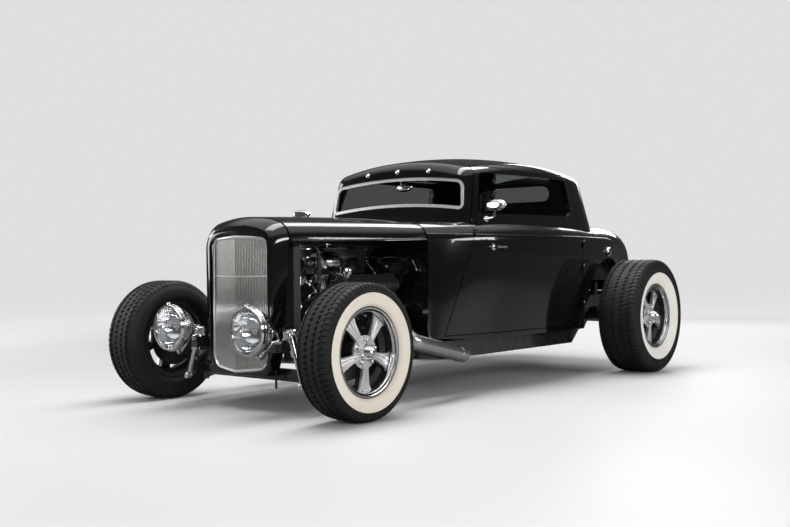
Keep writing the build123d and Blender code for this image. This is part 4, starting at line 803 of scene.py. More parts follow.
def make_tread(name):
    """Three zigzag ribs and a row of lugs on each shoulder: one pitch, repeated round the tyre."""
    x, track, z, width, _, _, _, pitches = WHEELS[name]
    h, centre = width / 2, Vector((x, track, z))
    length = 2 * pi / pitches * z
    low, deep = z - TREAD_DEPTH - 0.001, 0.0088
    zig = 0.11 * h
    ribs = ((-0.54, -0.255, 0.0010, 0.5), (-0.155, 0.155, 0.0003, 0.0), (0.255, 0.54, 0.0010, 0.5))
    blocks = []
    for start, end, gap, shift in ribs:
        half, y0, y1 = length / 2 - gap, start * h, end * h
        outline = [(-half, y0), (0, y0 + zig), (half, y0), (half, y1), (0, y1 + zig), (-half, y1)]
        outline = [(u + shift * length, a) for u, a in outline]
        blocks.append(prism([centre + Vector((u, a, sqrt(low**2 - u**2))) for u, a in outline], UP * deep))
    for way in (-1, 1):
        section = [(0.645, low), (0.645, z - 0.0006), (0.79, z - 0.0022), (0.875, z - 0.0062),
                   (0.93, z - 0.0145), (0.957, z - 0.027), (0.966, z - 0.038), (0.87, z - 0.040)]
        if name.startswith("front") and way * track < 0:
            section = [(0.645, low), (0.645, z - 0.0020), (0.74, z - 0.0065), (0.81, z - 0.0150),
                       (0.855, z - 0.0250), (0.885, z - 0.038), (0.80, z - 0.040)]
        start = -length * (0.27 if way > 0 else 0.73)
        points = [centre + Vector((start, a * h * way, r - 0.0002)) for a, r in section]
        blocks.append(prism(points, FORWARD * (length - 0.0052)))
    return around(join(blocks), centre, LEFT, pitches)


def make_tyre(name):
    """A tyre with its tread, and a coloured band on the side that faces out."""
    x, track, z, _, _, band_r, _, _ = WHEELS[name]
    side = sign(track)
    end, hand = name.split("_")
    tyre = join([make_carcass(name), make_tread(name)])
    done(tyre, f"tyre_{name}", "tyre", 40, body=f"wheel_{name}")

    def on_band(middle, normal):
        r = sqrt((middle.x - x) ** 2 + (middle.z - z) ** 2)
        return (middle.y - track) * side > 0 and 0.2118 < r < band_r and normal.y * side > 0.2
    tint(tyre, "cream_band" if end == "front" else "white_band", on_band)
    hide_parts(f"{end}_tyre_{hand}")


# Wheel hardware

def make_wheel_hardware(name):
    """Lug nuts, a bullet shaped hub cap, the rim's lip, ridges along the spokes and a tyre valve."""
    x, track, z, _, rim_width, _, inset, _ = WHEELS[name]
    axis = LEFT * sign(track)
    rim_y = abs(track) + rim_width / 2
    face_y = rim_y - inset
    seat_y = face_y - 0.015

    def at(radius, y, turn=0):
        return Vector((x + radius * sin(turn), y * sign(track), z + radius * cos(turn)))

    def fit(piece, title, finish, smooth):
        return done(piece, f"{title}_{name}", finish, smooth, body=f"wheel_{name}")

    nut = bolt(at(LUG_CIRCLE_R, seat_y), axis, 0.014, 0.0112, 0.001)
    dome = [(0.0, 0.0088), (0.007, 0.0084), (0.011, 0.0062), (0.0135, 0.0026), (0.014, 0.0)]
    dome = knob(dome, at(LUG_CIRCLE_R, seat_y + 0.0135), axis, 16)
    washer = knob([(0, 0.0125), (0.002, 0.0122), (0.0024, 0)], at(LUG_CIRCLE_R, seat_y), axis, 20)
    fit(around(join([nut, dome, washer]), (x, 0, z), LEFT, 5), "lug_nuts", "chrome", 30)

    bullet = [(0.0, 0.039), (0.005, 0.0415), (0.014, 0.0385), (0.031, 0.0295), (0.047, 0.0165), (0.056, 0.0)]
    fit(knob(smooth_line(bullet), at(0, face_y), axis, 40), "hub_cap", "chrome", 50)

    section = [(-0.004, 0.2080), (0.0005, 0.2073), (0.0008, 0.2052), (-0.0012, 0.1990), (-0.0080, 0.1961),
               (-0.0086, 0.1925), (-0.0104, 0.1906), (-0.0112, 0.1882), (-0.0195, 0.1841), (-0.0260, 0.1838),
               (-0.0615, 0.1838), (-0.0780, 0.1660), (-0.0790, 0.1690), (-0.0600, 0.1870), (-0.0200, 0.1872),
               (-0.0070, 0.1990), (-0.0040, 0.2060)]
    lip = ring([(rim_width / 2 + a, r) for a, r in section], (x, track, z), axis, 96)
    fit(lip, "wheel_lip", "polished_aluminium", 35)
    # The lip's inner barrel is tinted black as painted shade behind the spokes.
    tint(lip, "black_moulding", lambda middle, normal: abs(middle.y) < rim_y - 0.030)

    ridges = []
    for way in (-1, 1):
        line = []
        for r in (0.064, 0.100, 0.140, 0.183):
            aside = (0.0055 + 0.0175 * (r - 0.064) / 0.119) * way
            drop = 0.0034 + 0.012 * (r - 0.060) / 0.126
            line.append(at(r, face_y - drop, SPOKE_TURN + aside / r))
        ridges.append(tube(line, 0.0026, 8))
    fit(around(join(ridges), (x, 0, z), LEFT, 5), "spoke_ridges", "wheel_metal", 40)

    stem = rod(at(0.1835, face_y - 0.034), at(0.170, face_y - 0.012), 0.0032, 12, 0.0004)
    base = rod(at(0.1838, face_y - 0.0345), at(0.1795, face_y - 0.0272), 0.0056, 12, 0.0008)
    top = rod(at(0.1705, face_y - 0.0128), at(0.1660, face_y - 0.0054), 0.0044, 12, 0.0008)
    fit(join([stem, base, top]), "valve", "chrome", 30)


# Headlamps

def make_headlamp_lens(y, hand):
    """A domed lens, finely fluted upright and with broad bars across, in place of the plain one."""
    rim, rings, edge_x = LAMP_R - 0.0135, 14, -0.0195
    outer, inner = [], []
    for number in range(rings + 1):
        drop = 0.0125 * (number / rings) ** 2
        outer.append((0.0045 - drop, rim * number / rings))
        inner.append((-0.0005 - drop * 0.92, rim * number / rings))
    profile = [*outer, (edge_x, rim), (edge_x, rim - 0.0045), *inner[-2::-1]]
    lens = spun(profile, (LAMP_FRONT_X, y, LAMP_Z), FORWARD, 96, False)
    flute, bar = 0.0085, 0.045
    for v in lens.data.vertices:
        across, above = v.co.y - y, v.co.z - LAMP_Z
        if v.co.x < LAMP_FRONT_X - 0.013 or sqrt(across**2 + above**2) > rim - 0.004:
            continue
        flute_wave = abs(across / flute - round(across / flute)) * 2
        bar_wave = abs(above / bar - round(above / bar)) * 2
        v.co.x -= 0.0018 * flute_wave**2 + 0.0012 * bar_wave**2
    done(lens, f"headlamp_lens_{hand}", "lamp_glass", 30)
    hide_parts("headlamp_lenses")


def make_headlamp(side, hand):
    """A lens over a bright bulb, with the bulb's holder, rim clip and screw, shell seam and conduit."""
    y = LAMP_Y * side
    make_headlamp_lens(y, hand)

    def at(back, aside=0.0, above=0.0):
        return Vector((LAMP_FRONT_X - back, y + aside * side, LAMP_Z + above))

    bulb = [(-0.020, 0.010), (0.0, 0.011), (0.012, 0.017), (0.026, 0.0165), (0.036, 0.009), (0.0385, 0.0)]
    bulb = spun(smooth_line(bulb), at(0.090), FORWARD, 24, False)
    done(bulb, f"headlamp_bulb_{hand}", "polished_aluminium", 50, "chrome")

    holder = [(-0.012, 0.024), (0.002, 0.024), (0.004, 0.020), (0.012, 0.016), (0.012, 0.0)]
    seam = [(0.0, LAMP_R - 0.002), (0.0, LAMP_R + 0.0016), (0.003, LAMP_R + 0.0022), (0.006, LAMP_R + 0.0016),
            (0.006, LAMP_R - 0.002)]
    stub = [(0.0, 0.012), (0.010, 0.0115), (0.013, 0.009), (0.016, 0.0)]
    screw_z = LAMP_R + 0.0062
    conduit = [at(0.156), at(0.190, 0, -0.004), at(0.212, 0.004, -0.036), at(0.205, 0.014, -0.078),
               at(0.232, 0.022, -0.093)]
    fittings = [
        knob(holder, at(0.113), FORWARD, 32),
        block_at(at(0.015, 0, LAMP_R - 0.0005), (0.018, 0.014, 0.007), 0.002),
        rod(at(0.019, 0, screw_z), at(-0.001, 0, screw_z), 0.0027, 12, 0.0006),
        bolt(at(0.022, 0, screw_z), FORWARD, 0.005, 0.005),
        ring(seam, at(0.032), FORWARD, 80),
        knob(stub, at(0.147), -FORWARD, 24),
        tube(conduit, 0.0048, 12),
    ]
    done(join(fittings), f"headlamp_fittings_{hand}", "chrome", 40)


# Grille and body trim

def grille_x(y):
    """How far forward the vee of the grille stands."""
    return GRILLE_RIDGE_X - (GRILLE_RIDGE_X - GRILLE_EDGE_X) * abs(y) / GRILLE_HALF_WIDTH


def make_grille_dressing():
    """Half round faces on the grille's bars, a rolled surround and the thin rod across."""
    half, bars_made = GRILLE_HALF_WIDTH, 41
    pitch = 2 * (half - GRILLE_RIM) / (bars_made + 1)
    bars = []
    for number in range(bars_made):
        y = -half + GRILLE_RIM + pitch * (number + 1)
        x, out = grille_x(y) - 0.0040, abs(y) / half
        into_low, into_high = max(abs(y) - (half - GRILLE_LOW_R), 0), max(abs(y) - (half - GRILLE_HIGH_R), 0)
        low_arc = sqrt(max(GRILLE_LOW_R**2 - into_low**2, 0))
        high_arc = sqrt(max(GRILLE_HIGH_R**2 - into_high**2, 0))
        low = GRILLE_LOW + 0.020 * out + GRILLE_LOW_R - low_arc + 0.010
        high = GRILLE_HIGH - 0.010 * out - GRILLE_HIGH_R + high_arc - 0.010
        bars.append(rod((x, y, low), (x, y, high), 0.0031, 12))
    done(join(bars), "grille_bar_faces", "grille_steel", 50)

    inset = GRILLE_RIM / 2
    line = [(0.0, GRILLE_LOW + inset)]
    low_corner = (GRILLE_LOW + GRILLE_LOW_R + 0.012, GRILLE_LOW_R, -90)
    high_corner = (GRILLE_HIGH - GRILLE_HIGH_R - 0.008, GRILLE_HIGH_R, 0)
    for z, r, start in (low_corner, high_corner):
        for step in range(9):
            turn = radians(start + 90 * step / 8)
            line.append((half - r + (r - inset) * cos(turn), z + (r - inset) * sin(turn)))
    line.append((0.0, GRILLE_HIGH - inset))
    line = line[:-1] + [(-y, z) for y, z in line[:0:-1]]
    surround = [(grille_x(y) - 0.0015, y, z) for y, z in line]
    surround = tube(surround, 0.0074, 16, smooth_path=False, closed=True)
    edge = half - GRILLE_RIM
    across = [(grille_x(y) - 0.0012, y, GRILLE_ROD_Z) for y in (edge, 0.0, -edge)]
    across = tube(across, 0.0019, 12, smooth_path=False)
    done(join([surround, across]), "grille_surround", "wheel_metal", 50, "polished_steel")


def make_grille_shell():
    """The radiator shell with its lower corners rounded to follow the grille."""
    shell = mend(copied(nodes["grille_shell"]))
    low, r, wide, back = 0.166, 0.098, 0.236, 1.40
    left_half = [(back, 0.40, 1.10), (back, 0.40, 0.36), (back, wide, low + r)]
    for step in range(1, 9):
        turn = radians(-step * 90 / 8)
        left_half.append((back, wide - r + r * cos(turn), low + r + r * sin(turn)))
    right_half = [(x, -y, z) for x, y, z in left_half[::-1]]
    room = prism(right_half[-1:] + left_half + right_half[:-1], FORWARD * 0.40)
    apply_modifier(shell, "BOOLEAN", object=room, operation="INTERSECT")
    bpy.data.objects.remove(room)
    done(shell, "radiator_shell", "body_paint", 35)
    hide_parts("grille_shell")


def make_belt():
    """The thin half round moulding round the body, one length to a panel."""
    tail = []
    for degrees in range(0, 86, 6):
        turn = radians(degrees)
        tail.append((-1.150 - 0.467 * sin(turn), 0.420 + 0.467 * cos(turn)))
    hood = [(x, 0.846 + (1.50 - x) * 0.020) for x, _ in spread((1.513, 0), (0.676, 0), 12)]
    rear = spread((-0.7745, BELT_Z), (-1.150, BELT_Z - 0.002), 5)[:-1] + tail
    runs = [
        ("hood", True, hood),
        ("cowl", False, spread((0.659, BELT_Z), (0.383, BELT_Z), 5)),
        ("door", True, spread((0.362, BELT_Z), (-0.760, BELT_Z), 14)),
        ("rear_body", False, rear),
    ]
    for panel, opens, stations in runs:
        for side, hand in HANDS:
            line = []
            for x, z in stations:
                place, _ = skin(f"{panel}_left" if opens else panel, (x, 0.9, z), -LEFT)
                line.append((place.x, (place.y - 0.0022) * side, place.z))
            strip = tube(line, 0.0052, 12)
            body = f"{panel}_{hand}_body" if opens else "chassis"
            done(strip, f"belt_moulding_{panel}_{hand}", "body_paint", 50, body=body)


def oval(piece, place, wide, high):
    """Squeezes a piece made round the origin to an oval, and stands it at a place."""
    return placed(piece, place @ Matrix.Diagonal((wide, high, 1, 1)))


def make_door_fittings(side, hand):
    """A lever handle on its plate, exposed hinges, and the mirror's glass, rim and foot."""
    body = f"door_{hand}_body"
    place, normal = skin("door_left", (0.233, 0.9, 0.819), -LEFT)
    out = normal.normalized()
    plate = knob([(-0.002, 0.019), (0.003, 0.0185), (0.006, 0.014), (0.0075, 0.0)], place, out, 32)
    neck = knob([(0.004, 0.0085), (0.020, 0.007), (0.034, 0.0075), (0.036, 0.0)], place, out, 20)
    moves = ((0.010, 0, 0), (0, 0, 0), (-0.035, 0.003, 0.001), (-0.082, 0.001, -0.001),
             (-0.104, -0.005, -0.004))
    lever = tube([place + out * 0.033 + Vector(move) for move in moves], 0.0062, 16)
    handle = on_side(join([plate, neck, lever]), side)
    done(handle, f"door_handle_{hand}", "chrome", 45, body=body)

    hinges = []
    for z in (0.450, 0.690, 0.850):
        for half, radius, sides, bevel in ((0.028, 0.0055, 16, 0.001), (0.033, 0.0032, 12, 0.0008)):
            at = Vector((-0.768, 0.651 * side, z))
            hinges.append(rod(at - UP * half, at + UP * half, radius, sides, bevel))
    done(join(hinges), f"door_hinges_{hand}", "body_paint", 40, body=body)

    face = facing((0.386, 0.748, 1.046), (-1, 0.15, 0))
    glass = knob([(0.0, 1.0), (0.0012, 0.995), (0.0016, 0.0)], (0, 0, 0), UP, 48)
    glass = on_side(oval(glass, face, 0.0655, 0.0285), side)
    done(glass, f"mirror_glass_{hand}", "mirror", 30, body=body)
    rim = [(-0.002, 0.95), (-0.002, 1.01), (0.0012, 1.02), (0.0035, 1.0), (0.0035, 0.965)]
    rim = ring(rim, (0, 0, 0), UP, 48)
    foot = [(-0.004, 0.017), (0.003, 0.0165), (0.007, 0.011), (0.012, 0.0)]
    foot = knob(foot, (0.300, 0.622, 0.9765), (0.2, 1, 0.1), 28)
    rim = on_side(join([oval(rim, face, 0.0665, 0.0295), foot]), side)
    done(rim, f"mirror_rim_{hand}", "chrome", 45, body=body)


def make_screen_trim():
    """The inner mirror on its stalk, and the caps over the screen's hinges."""
    centre = Vector((0.262, 0.0, 1.188))
    shell = [(0.0, 0.97), (0.004, 1.0), (-0.003, 1.02), (-0.016, 0.86), (-0.022, 0.5), (-0.024, 0.0)]
    shell = oval(knob(shell, (0, 0, 0), UP, 48), facing(centre, (-1, 0.05, -0.08)), 0.066, 0.027)
    stalk = [centre + Vector((0.020, 0, 0.002)), centre + Vector((0.034, 0, 0.020)), (0.293, 0, 1.226)]
    stalk = tube(stalk, 0.0042, 12)
    foot = knob([(0.0, 0.013), (0.004, 0.012), (0.006, 0.0)], (0.2925, 0, 1.232), (-1, 0, -0.5), 24)
    done(join([shell, stalk, foot]), "inner_mirror", "chrome", 45)
    cap = [(-0.002, 0.014), (0.004, 0.0135), (0.008, 0.009), (0.0095, 0.0)]
    caps = []
    for y, z in ((0.235, 1.268), (0.0, 1.276), (-0.235, 1.268)):
        place, normal = skin("roof", (0.6, y, z), -FORWARD)
        caps.append(knob(cap, place, normal, 24))
    done(join(caps), "screen_hinge_caps", "chrome", 45)


def make_tail_trim():
    """The deck's handle and hinges, tail lamp rims, fuel filler cap and the bare plate's bracket."""
    place, normal = skin("decklid", (-1.9, 0, 0.700), FORWARD)
    base = knob([(-0.003, 0.023), (0.004, 0.022), (0.008, 0.015), (0.010, 0.0)], place, normal, 32)
    grip = place + normal * 0.028
    post = rod(place, grip, 0.008, 20, 0.001)
    across = tube([grip - LEFT * 0.045, grip - FORWARD * 0.005, grip + LEFT * 0.045], 0.0065, 16)
    done(join([base, post, across]), "deck_handle", "chrome", 45, body="decklid_body")

    section = [(0.0005, 0.0335), (0.0005, 0.0385), (0.006, 0.0405), (0.030, 0.0405), (0.034, 0.0385),
               (0.012, 0.0382)]
    rims = [ring(section, (-1.820, 0.330 * side, 0.470), FORWARD, 48) for side in (-1, 1)]
    done(join(rims), "tail_lamp_rims", "chrome", 40)

    place, normal = skin("rear_body", (-1.2, 0.9, 0.800), -LEFT)
    cap = [(-0.004, 0.034), (0.004, 0.034), (0.006, 0.030), (0.012, 0.029), (0.017, 0.024), (0.019, 0.0)]
    done(knob(cap, place, normal, 40), "fuel_filler_cap", "chrome", 40)

    bracket = box((-1.800, -0.150, 0.440), (-1.796, 0.150, 0.448), 0.001)
    arms = [rod((-1.786, y, 0.372), (-1.798, y, 0.444), 0.005, 12, 0.001) for y in (-0.08, 0.08)]
    done(join([bracket, *arms]), "plate_bracket", "black_paint", 40)

    barrel_and_seams = ((0, 0.035, 0.0048, 0.001), (-0.0125, 0.001, 0.0056, 0), (0.0125, 0.001, 0.0056, 0))
    hinges = []
    for y in (-0.300, 0.300):
        for offset, half, radius, bevel in barrel_and_seams:
            at = Vector((-1.160, y + offset, 1.0065))
            hinges.append(rod(at - LEFT * half, at + LEFT * half, radius, 16, bevel))
    done(join(hinges), "deck_hinges", "chrome", 40)


def spring_drop(y):
    """How far the front spring's top leaf has come down at a distance from its middle."""
    return 0.117 * (abs(y) / 0.4) ** 2


def make_front_fittings():
    """Damper knobs and bolts, the overflow pipe, spring clamps and leaves, kingpin nuts and caliper bolts."""
    bright = []
    for side in (-1, 1):
        grip = [(0.0, 0.012), (0.003, 0.016), (0.014, 0.0165), (0.021, 0.012), (0.024, 0.0)]
        bright.append(knob(grip, (DAMPER_X, 0.356 * side, 0.402), LEFT * side, 28))
        washer = [(0.0, 0.009), (0.0, 0.021), (0.004, 0.021), (0.004, 0.009)]
        bright.append(ring(washer, (DAMPER_X, 0.350 * side, 0.402), LEFT * side, 28))
        bright.append(bolt((DAMPER_X + 0.022, 0.424 * side, 0.150), FORWARD, 0.008, 0.0105))
        for x in (1.585, 1.615):
            top_z = 0.345 + (1.640 - x) * 0.1667 + 0.009
            bright.append(bolt((x, 0.312 * side, top_z), UP, 0.006, 0.008))
    done(join(bright), "front_damper_fittings", "chrome", 35)

    pipe = [(1.535, 0.205, 0.372), (1.540, 0.206, 0.330), (1.537, 0.205, 0.240), (1.537, 0.206, 0.118)]
    pipe = tube(pipe, 0.0062, 16)
    clip = strap((1.5385, 0.2055, 0.305), UP, 0.005, 0.0058, 0.0085, 20)
    done(join([pipe, clip]), "overflow_pipe", "black_moulding", 40)

    clamps = []
    for y in (-0.255, -0.120, 0.120, 0.255):
        top_z = 0.345 - spring_drop(y) + (0.004 if abs(y) < 0.2 else -0.003)
        clamps.append(block_at((1.497, y, top_z - 0.017), (0.051, 0.024, 0.046), 0.002))
    for layer in range(1, 5):
        reach, top_z = 0.38 - 0.055 * layer, 0.3465 - 0.00396 * layer
        line = [(1.5197, y, top_z - spring_drop(y)) for y in (-reach, -reach / 2, 0, reach / 2, reach)]
        clamps.append(tube(line, 0.0009, 8))
    done(join(clamps), "spring_clamps", "spring_steel", 40)

    nuts = []
    for side in (-1, 1):
        for z, way in ((0.390, UP), (0.256, -UP)):
            nuts.append(bolt((1.497, 0.570 * side, z), way, 0.009, 0.0125))
    done(join(nuts), "kingpin_nuts", "cast_steel", 35)
    for side, hand in HANDS:
        bolts = []
        for z in (0.306, 0.366):
            bolts.append(bolt((1.601, 0.640 * side, z), LEFT * side, 0.020, 0.0078))
            bolts.append(bolt((1.569, 0.6095 * side, z), LEFT * side, 0.007, 0.0085))
        done(join(bolts), f"caliper_bolts_{hand}", "cast_steel", 35, body=f"knuckle_{hand}_body")


# Engine

def make_rocker_covers():
    """Cooling fins along each cover, bolts on round seats and the oil filler."""
    lean = Matrix.Translation(COVER_EDGE) @ Matrix.Rotation(COVER_LEAN, 4, "X")
    bolts_at = [(x, y) for y in (0.0055, 0.0905) for x in (0.745, 0.860, 0.975, 1.090)]
    fins_y = [0.0225 + number * 0.0064 for number in range(9)]
    for side, hand in HANDS:
        fins = [block_at((0.935, y, 0.070), (0.386, 0.0024, 0.009), 0.0006, 1) for y in fins_y]
        seats = [rod((x, y, 0.047), (x, y, 0.052), 0.008, 16, 0.001) for x, y in bolts_at]
        fins = on_side(placed(join(fins + seats), lean), side)
        heads = placed(join([bolt((x, y, 0.0518), UP, 0.0062, 0.0058) for x, y in bolts_at]), lean)
        filler = [(0.0, 0.022), (0.020, 0.022), (0.022, 0.030), (0.026, 0.0325), (0.050, 0.0325),
                  (0.057, 0.028), (0.060, 0.018), (0.061, 0.0)]
        filler = knob(filler, (1.120, 0.293, 0.654), (0, 0.12, 1), 32)
        done(fins, f"rocker_cover_fins_{hand}", "black_crinkle", 35)
        done(on_side(join([heads, filler]), side), f"rocker_cover_fittings_{hand}", "chrome", 35)


def make_carburettor():
    """The pleated filter, the air cleaner's nut, the carburettor's bowls and linkage, and its fuel pipe."""
    pleat = block_at((1.076, 0, 0.7895), (0.005, 0.007, 0.043), 0.0012, 1)
    done(around(pleat, (AIR_CLEANER_X, 0, 0.790), UP, 96), "air_filter_element", "filter_gauze", 30)
    nut = [(0.0, 0.011), (0.006, 0.0105), (0.010, 0.006), (0.020, 0.005), (0.022, 0.0)]
    pieces = [knob(nut, (AIR_CLEANER_X, 0, 0.829), UP, 24)]
    pieces.append(block_at((AIR_CLEANER_X, 0, 0.840), (0.004, 0.038, 0.012), 0.003))
    for low_x, high_x, face_x, way in ((0.995, 1.032, 1.032, 1), (0.828, 0.865, 0.828, -1)):
        pieces.append(box((low_x, -0.048, 0.688), (high_x, 0.048, 0.722), 0.006))
        for y in (-0.036, 0.036):
            for z in (0.695, 0.715):
                pieces.append(bolt((face_x, y, z), FORWARD * way, 0.004, 0.0048))
    linkage = [(0.885, -0.058, 0.700), (0.885, -0.075, 0.690), (0.800, -0.078, 0.682), (0.742, -0.070, 0.660)]
    fuel = [(1.030, 0.030, 0.705), (1.062, 0.036, 0.705), (1.090, 0.052, 0.690), (1.150, 0.062, 0.640),
            (1.158, 0.066, 0.600)]
    pieces += [tube(linkage, 0.0028, 10), tube(fuel, 0.0045, 12)]
    done(join(pieces), "carburettor_details", "polished_aluminium", 35)


def make_distributor():
    """The distributor's body, and its cap with a ring of eight towers round a middle one."""
    x = DISTRIBUTOR_X
    body = [(0.0, 0.030), (0.050, 0.030), (0.060, 0.042), (0.074, 0.044), (0.076, 0.0)]
    done(knob(body, (x, 0, 0.612), UP, 32), "distributor_body", "polished_aluminium", 35)
    cap = knob([(0.0, 0.046), (0.030, 0.044), (0.046, 0.034), (0.050, 0.0)], (x, 0, 0.688), UP, 32)
    tower = [(0.0, 0.0075), (0.022, 0.007), (0.024, 0.0095), (0.034, 0.009), (0.036, 0.0)]
    towers = around(knob(tower, (x, 0.031, 0.726), UP, 14), (x, 0, 0.72), UP, 8)
    middle = knob([(0.0, 0.008), (0.028, 0.0075), (0.030, 0.0)], (x, 0, 0.735), UP, 14)
    done(join([cap, towers, middle]), "distributor_cap", "black_moulding", 35)


def make_intake_runners():
    """One intake runner to each port."""
    runners = []
    for x in PORTS_X:
        for side in (-1, 1):
            line = ((0.052, 0.622), (0.088, 0.618), (0.128, 0.585), (0.150, 0.566))
            runners.append(tube([(x, y * side, z) for y, z in line], 0.023, 20))
    done(join(runners), "intake_runners", "cast_aluminium", 40)


def make_alternator():
    """Black blocks round each end of the alternator as painted shade in its vent slots, its joint ring,
    cooling fan and pulley nut.
    """
    centre_y, centre_z = ALTERNATOR_Y, ALTERNATOR_Z
    vents = []
    for x in (1.080, 1.148):
        vent = box((x, centre_y - 0.0035, 0.7900), (x + 0.030, centre_y + 0.0035, 0.8005), 0.0015, 1)
        vents.append(around(vent, (x, centre_y, centre_z), FORWARD, 16))
    # These black blocks are painted shade standing for the dark vent slots.
    done(join(vents), "alternator_vent_shade", "black_moulding", 35)
    joint = [(0.0, 0.0595), (0.0, 0.0625), (0.004, 0.0625), (0.004, 0.0595)]
    fan = [(0.0, 0.052), (0.003, 0.052), (0.004, 0.030), (0.010, 0.028), (0.010, 0.0)]
    pieces = [ring(joint, (1.136, centre_y, centre_z), FORWARD, 48)]
    pieces.append(knob(fan, (1.1925, centre_y, centre_z), FORWARD, 36))
    pieces.append(bolt((1.231, centre_y, centre_z), FORWARD, 0.010, 0.012))
    done(join(pieces), "alternator_details", "cast_aluminium", 35, "chrome")


def make_front_cover_bolts():
    """Bolts in a circle on the crank's and the pump's pulley, and along the front cover."""
    bolts = []
    for z, count, radius, x in ((CRANK_Z, 6, 0.030, 1.223), (PUMP_Z, 4, 0.026, 1.255)):
        bolts.append(around(bolt((x, 0, z + radius), FORWARD, 0.007, 0.0068), (x, 0, z), FORWARD, count))
    for y in (-0.085, -0.045, 0.045, 0.085):
        bolts.append(bolt((1.195, y, 0.535), FORWARD, 0.006, 0.0068))
    for y in (-0.064, 0.064):
        for z in (0.330, 0.440):
            bolts.append(bolt((1.195, y, z), FORWARD, 0.006, 0.0062))
    done(join(bolts), "front_cover_bolts", "chrome", 35)


def strap(centre, axis, half_width, inner, outer, steps):
    """A flat band round a pipe."""
    section = [(-half_width, inner), (-half_width, outer), (half_width, outer), (half_width, inner)]
    return ring(section, centre, axis, steps)


def make_cooling():
    """Necks, radiator and heater pipes with their clamps, the radiator's cap and its fins."""
    neck = [(0.0, 0.034), (0.014, 0.033), (0.020, 0.024), (0.050, 0.022), (0.052, 0.0)]
    neck = knob(neck, (1.130, 0.0, 0.596), UP, 28)
    stub = knob([(0.0, 0.026), (0.040, 0.024), (0.040, 0.0)], (1.180, -0.050, 0.512), (0.7, -0.6, -0.2), 24)
    done(join([neck, stub]), "water_necks", "polished_aluminium", 35)

    upper = tube([(1.130, 0, 0.636), (1.132, 0, 0.690), (1.165, 0.0, 0.760), (1.250, -0.01, 0.812),
                  (1.330, -0.02, 0.846), (1.404, -0.02, 0.862)], 0.0185, 24)
    lower = tube([(1.215, -0.075, 0.500), (1.262, -0.120, 0.470), (1.300, -0.160, 0.452),
                  (1.345, -0.180, 0.440), (1.404, -0.185, 0.432)], 0.0205, 24)
    heater = tube([(1.404, 0.205, 0.842), (1.360, 0.225, 0.838), (1.312, 0.262, 0.826), (1.301, 0.277, 0.790),
                   (1.300, 0.276, 0.700), (1.300, 0.276, 0.625), (1.285, 0.255, 0.570), (1.245, 0.180, 0.545),
                   (1.196, 0.098, 0.538)], 0.0105, 16)
    done(join([upper, lower, heater]), "water_pipes", "black_moulding", 40)

    clamps = [
        strap((1.1305, 0, 0.655), UP, 0.006, 0.0183, 0.0205, 28),
        strap((1.385, -0.02, 0.8585), (1, 0, 0.2), 0.006, 0.0183, 0.0205, 28),
        strap((1.385, -0.1838, 0.4338), (1, -0.05, -0.1), 0.006, 0.0203, 0.0225, 28),
    ]
    for z in (0.790, 0.640):
        clamps.append(strap((1.3005, 0.2765, z), UP, 0.005, 0.0103, 0.0125, 24))
        clamps.append(box((1.296, 0.287, z - 0.005), (1.305, 0.297, z + 0.005), 0.001, 1))
    cap = [(0.0, 0.034), (0.007, 0.034), (0.010, 0.028), (0.015, 0.026), (0.017, 0.0)]
    done(join([*clamps, knob(cap, (1.426, 0.0, 0.915), UP, 12)]), "pipe_clamps_and_cap", "chrome", 35)

    fins = []
    for number in range(35):
        z = 0.435 + 0.0115 * number
        fins.append(box((1.4045, -0.228, z), (1.4475, 0.228, z + 0.0022)))
    done(join(fins), "radiator_fins", "radiator_core", 30)


def make_exhaust_fittings():
    """Flange bolts on the exhaust ports, and each side pipe's hanger with its band."""
    pieces = []
    for side in (-1, 1):
        for x in PORTS_X:
            for way in (-1, 1):
                start = (x + 0.024 * way, (0.2395 + 0.019 * way) * side, 0.476 + 0.024 * way)
                pieces.append(bolt(start, (0, side, -0.0052 / 0.0062), 0.0062, 0.0062))
        hanger = ((0.560, 0.545, 0.262), (0.566, 0.575, 0.226), (0.562, 0.600, 0.205))
        pieces.append(tube([(x, y * side, z) for x, y, z in hanger], 0.005, 12))
        along = (0.974, 0.075 * side, 0.210)
        pieces.append(strap((0.560, 0.6085 * side, 0.238), along, 0.008, 0.0418, 0.0438, 48))
    done(join(pieces), "exhaust_fittings", "polished_steel", 35)


def make_bulkhead_pipework():
    """Pipes from the bulkhead to the engine, a link rod, and the brake cylinder with its tank."""
    fuel = [(0.668, 0.150, 0.760), (0.740, 0.150, 0.770), (0.820, 0.172, 0.760), (0.852, 0.215, 0.730),
            (0.862, 0.270, 0.690), (0.865, 0.300, 0.655)]
    heater = [(0.668, -0.300, 0.760), (0.735, -0.300, 0.762), (0.800, -0.250, 0.742), (0.860, -0.150, 0.700),
              (0.868, -0.075, 0.660)]
    link = rod((0.672, 0.386, 0.747), (0.700, 0.437, 0.688), 0.0042, 14, 0.001)
    pipes = join([tube(fuel, 0.0034, 12), tube(heater, 0.0062, 14), link])
    done(pipes, "bulkhead_pipes", "polished_steel", 45)
    master = [(0.0, 0.024), (0.012, 0.024), (0.016, 0.018), (0.066, 0.018), (0.074, 0.012), (0.082, 0.0)]
    master = knob(master, (0.664, 0.245, 0.600), FORWARD, 32)
    tank = [(0.0, 0.026), (0.050, 0.026), (0.052, 0.029), (0.062, 0.029), (0.066, 0.0)]
    tank = knob(tank, (0.705, 0.245, 0.612), UP, 32)
    done(join([master, tank]), "brake_cylinder", "polished_aluminium", 35)


# Cabin

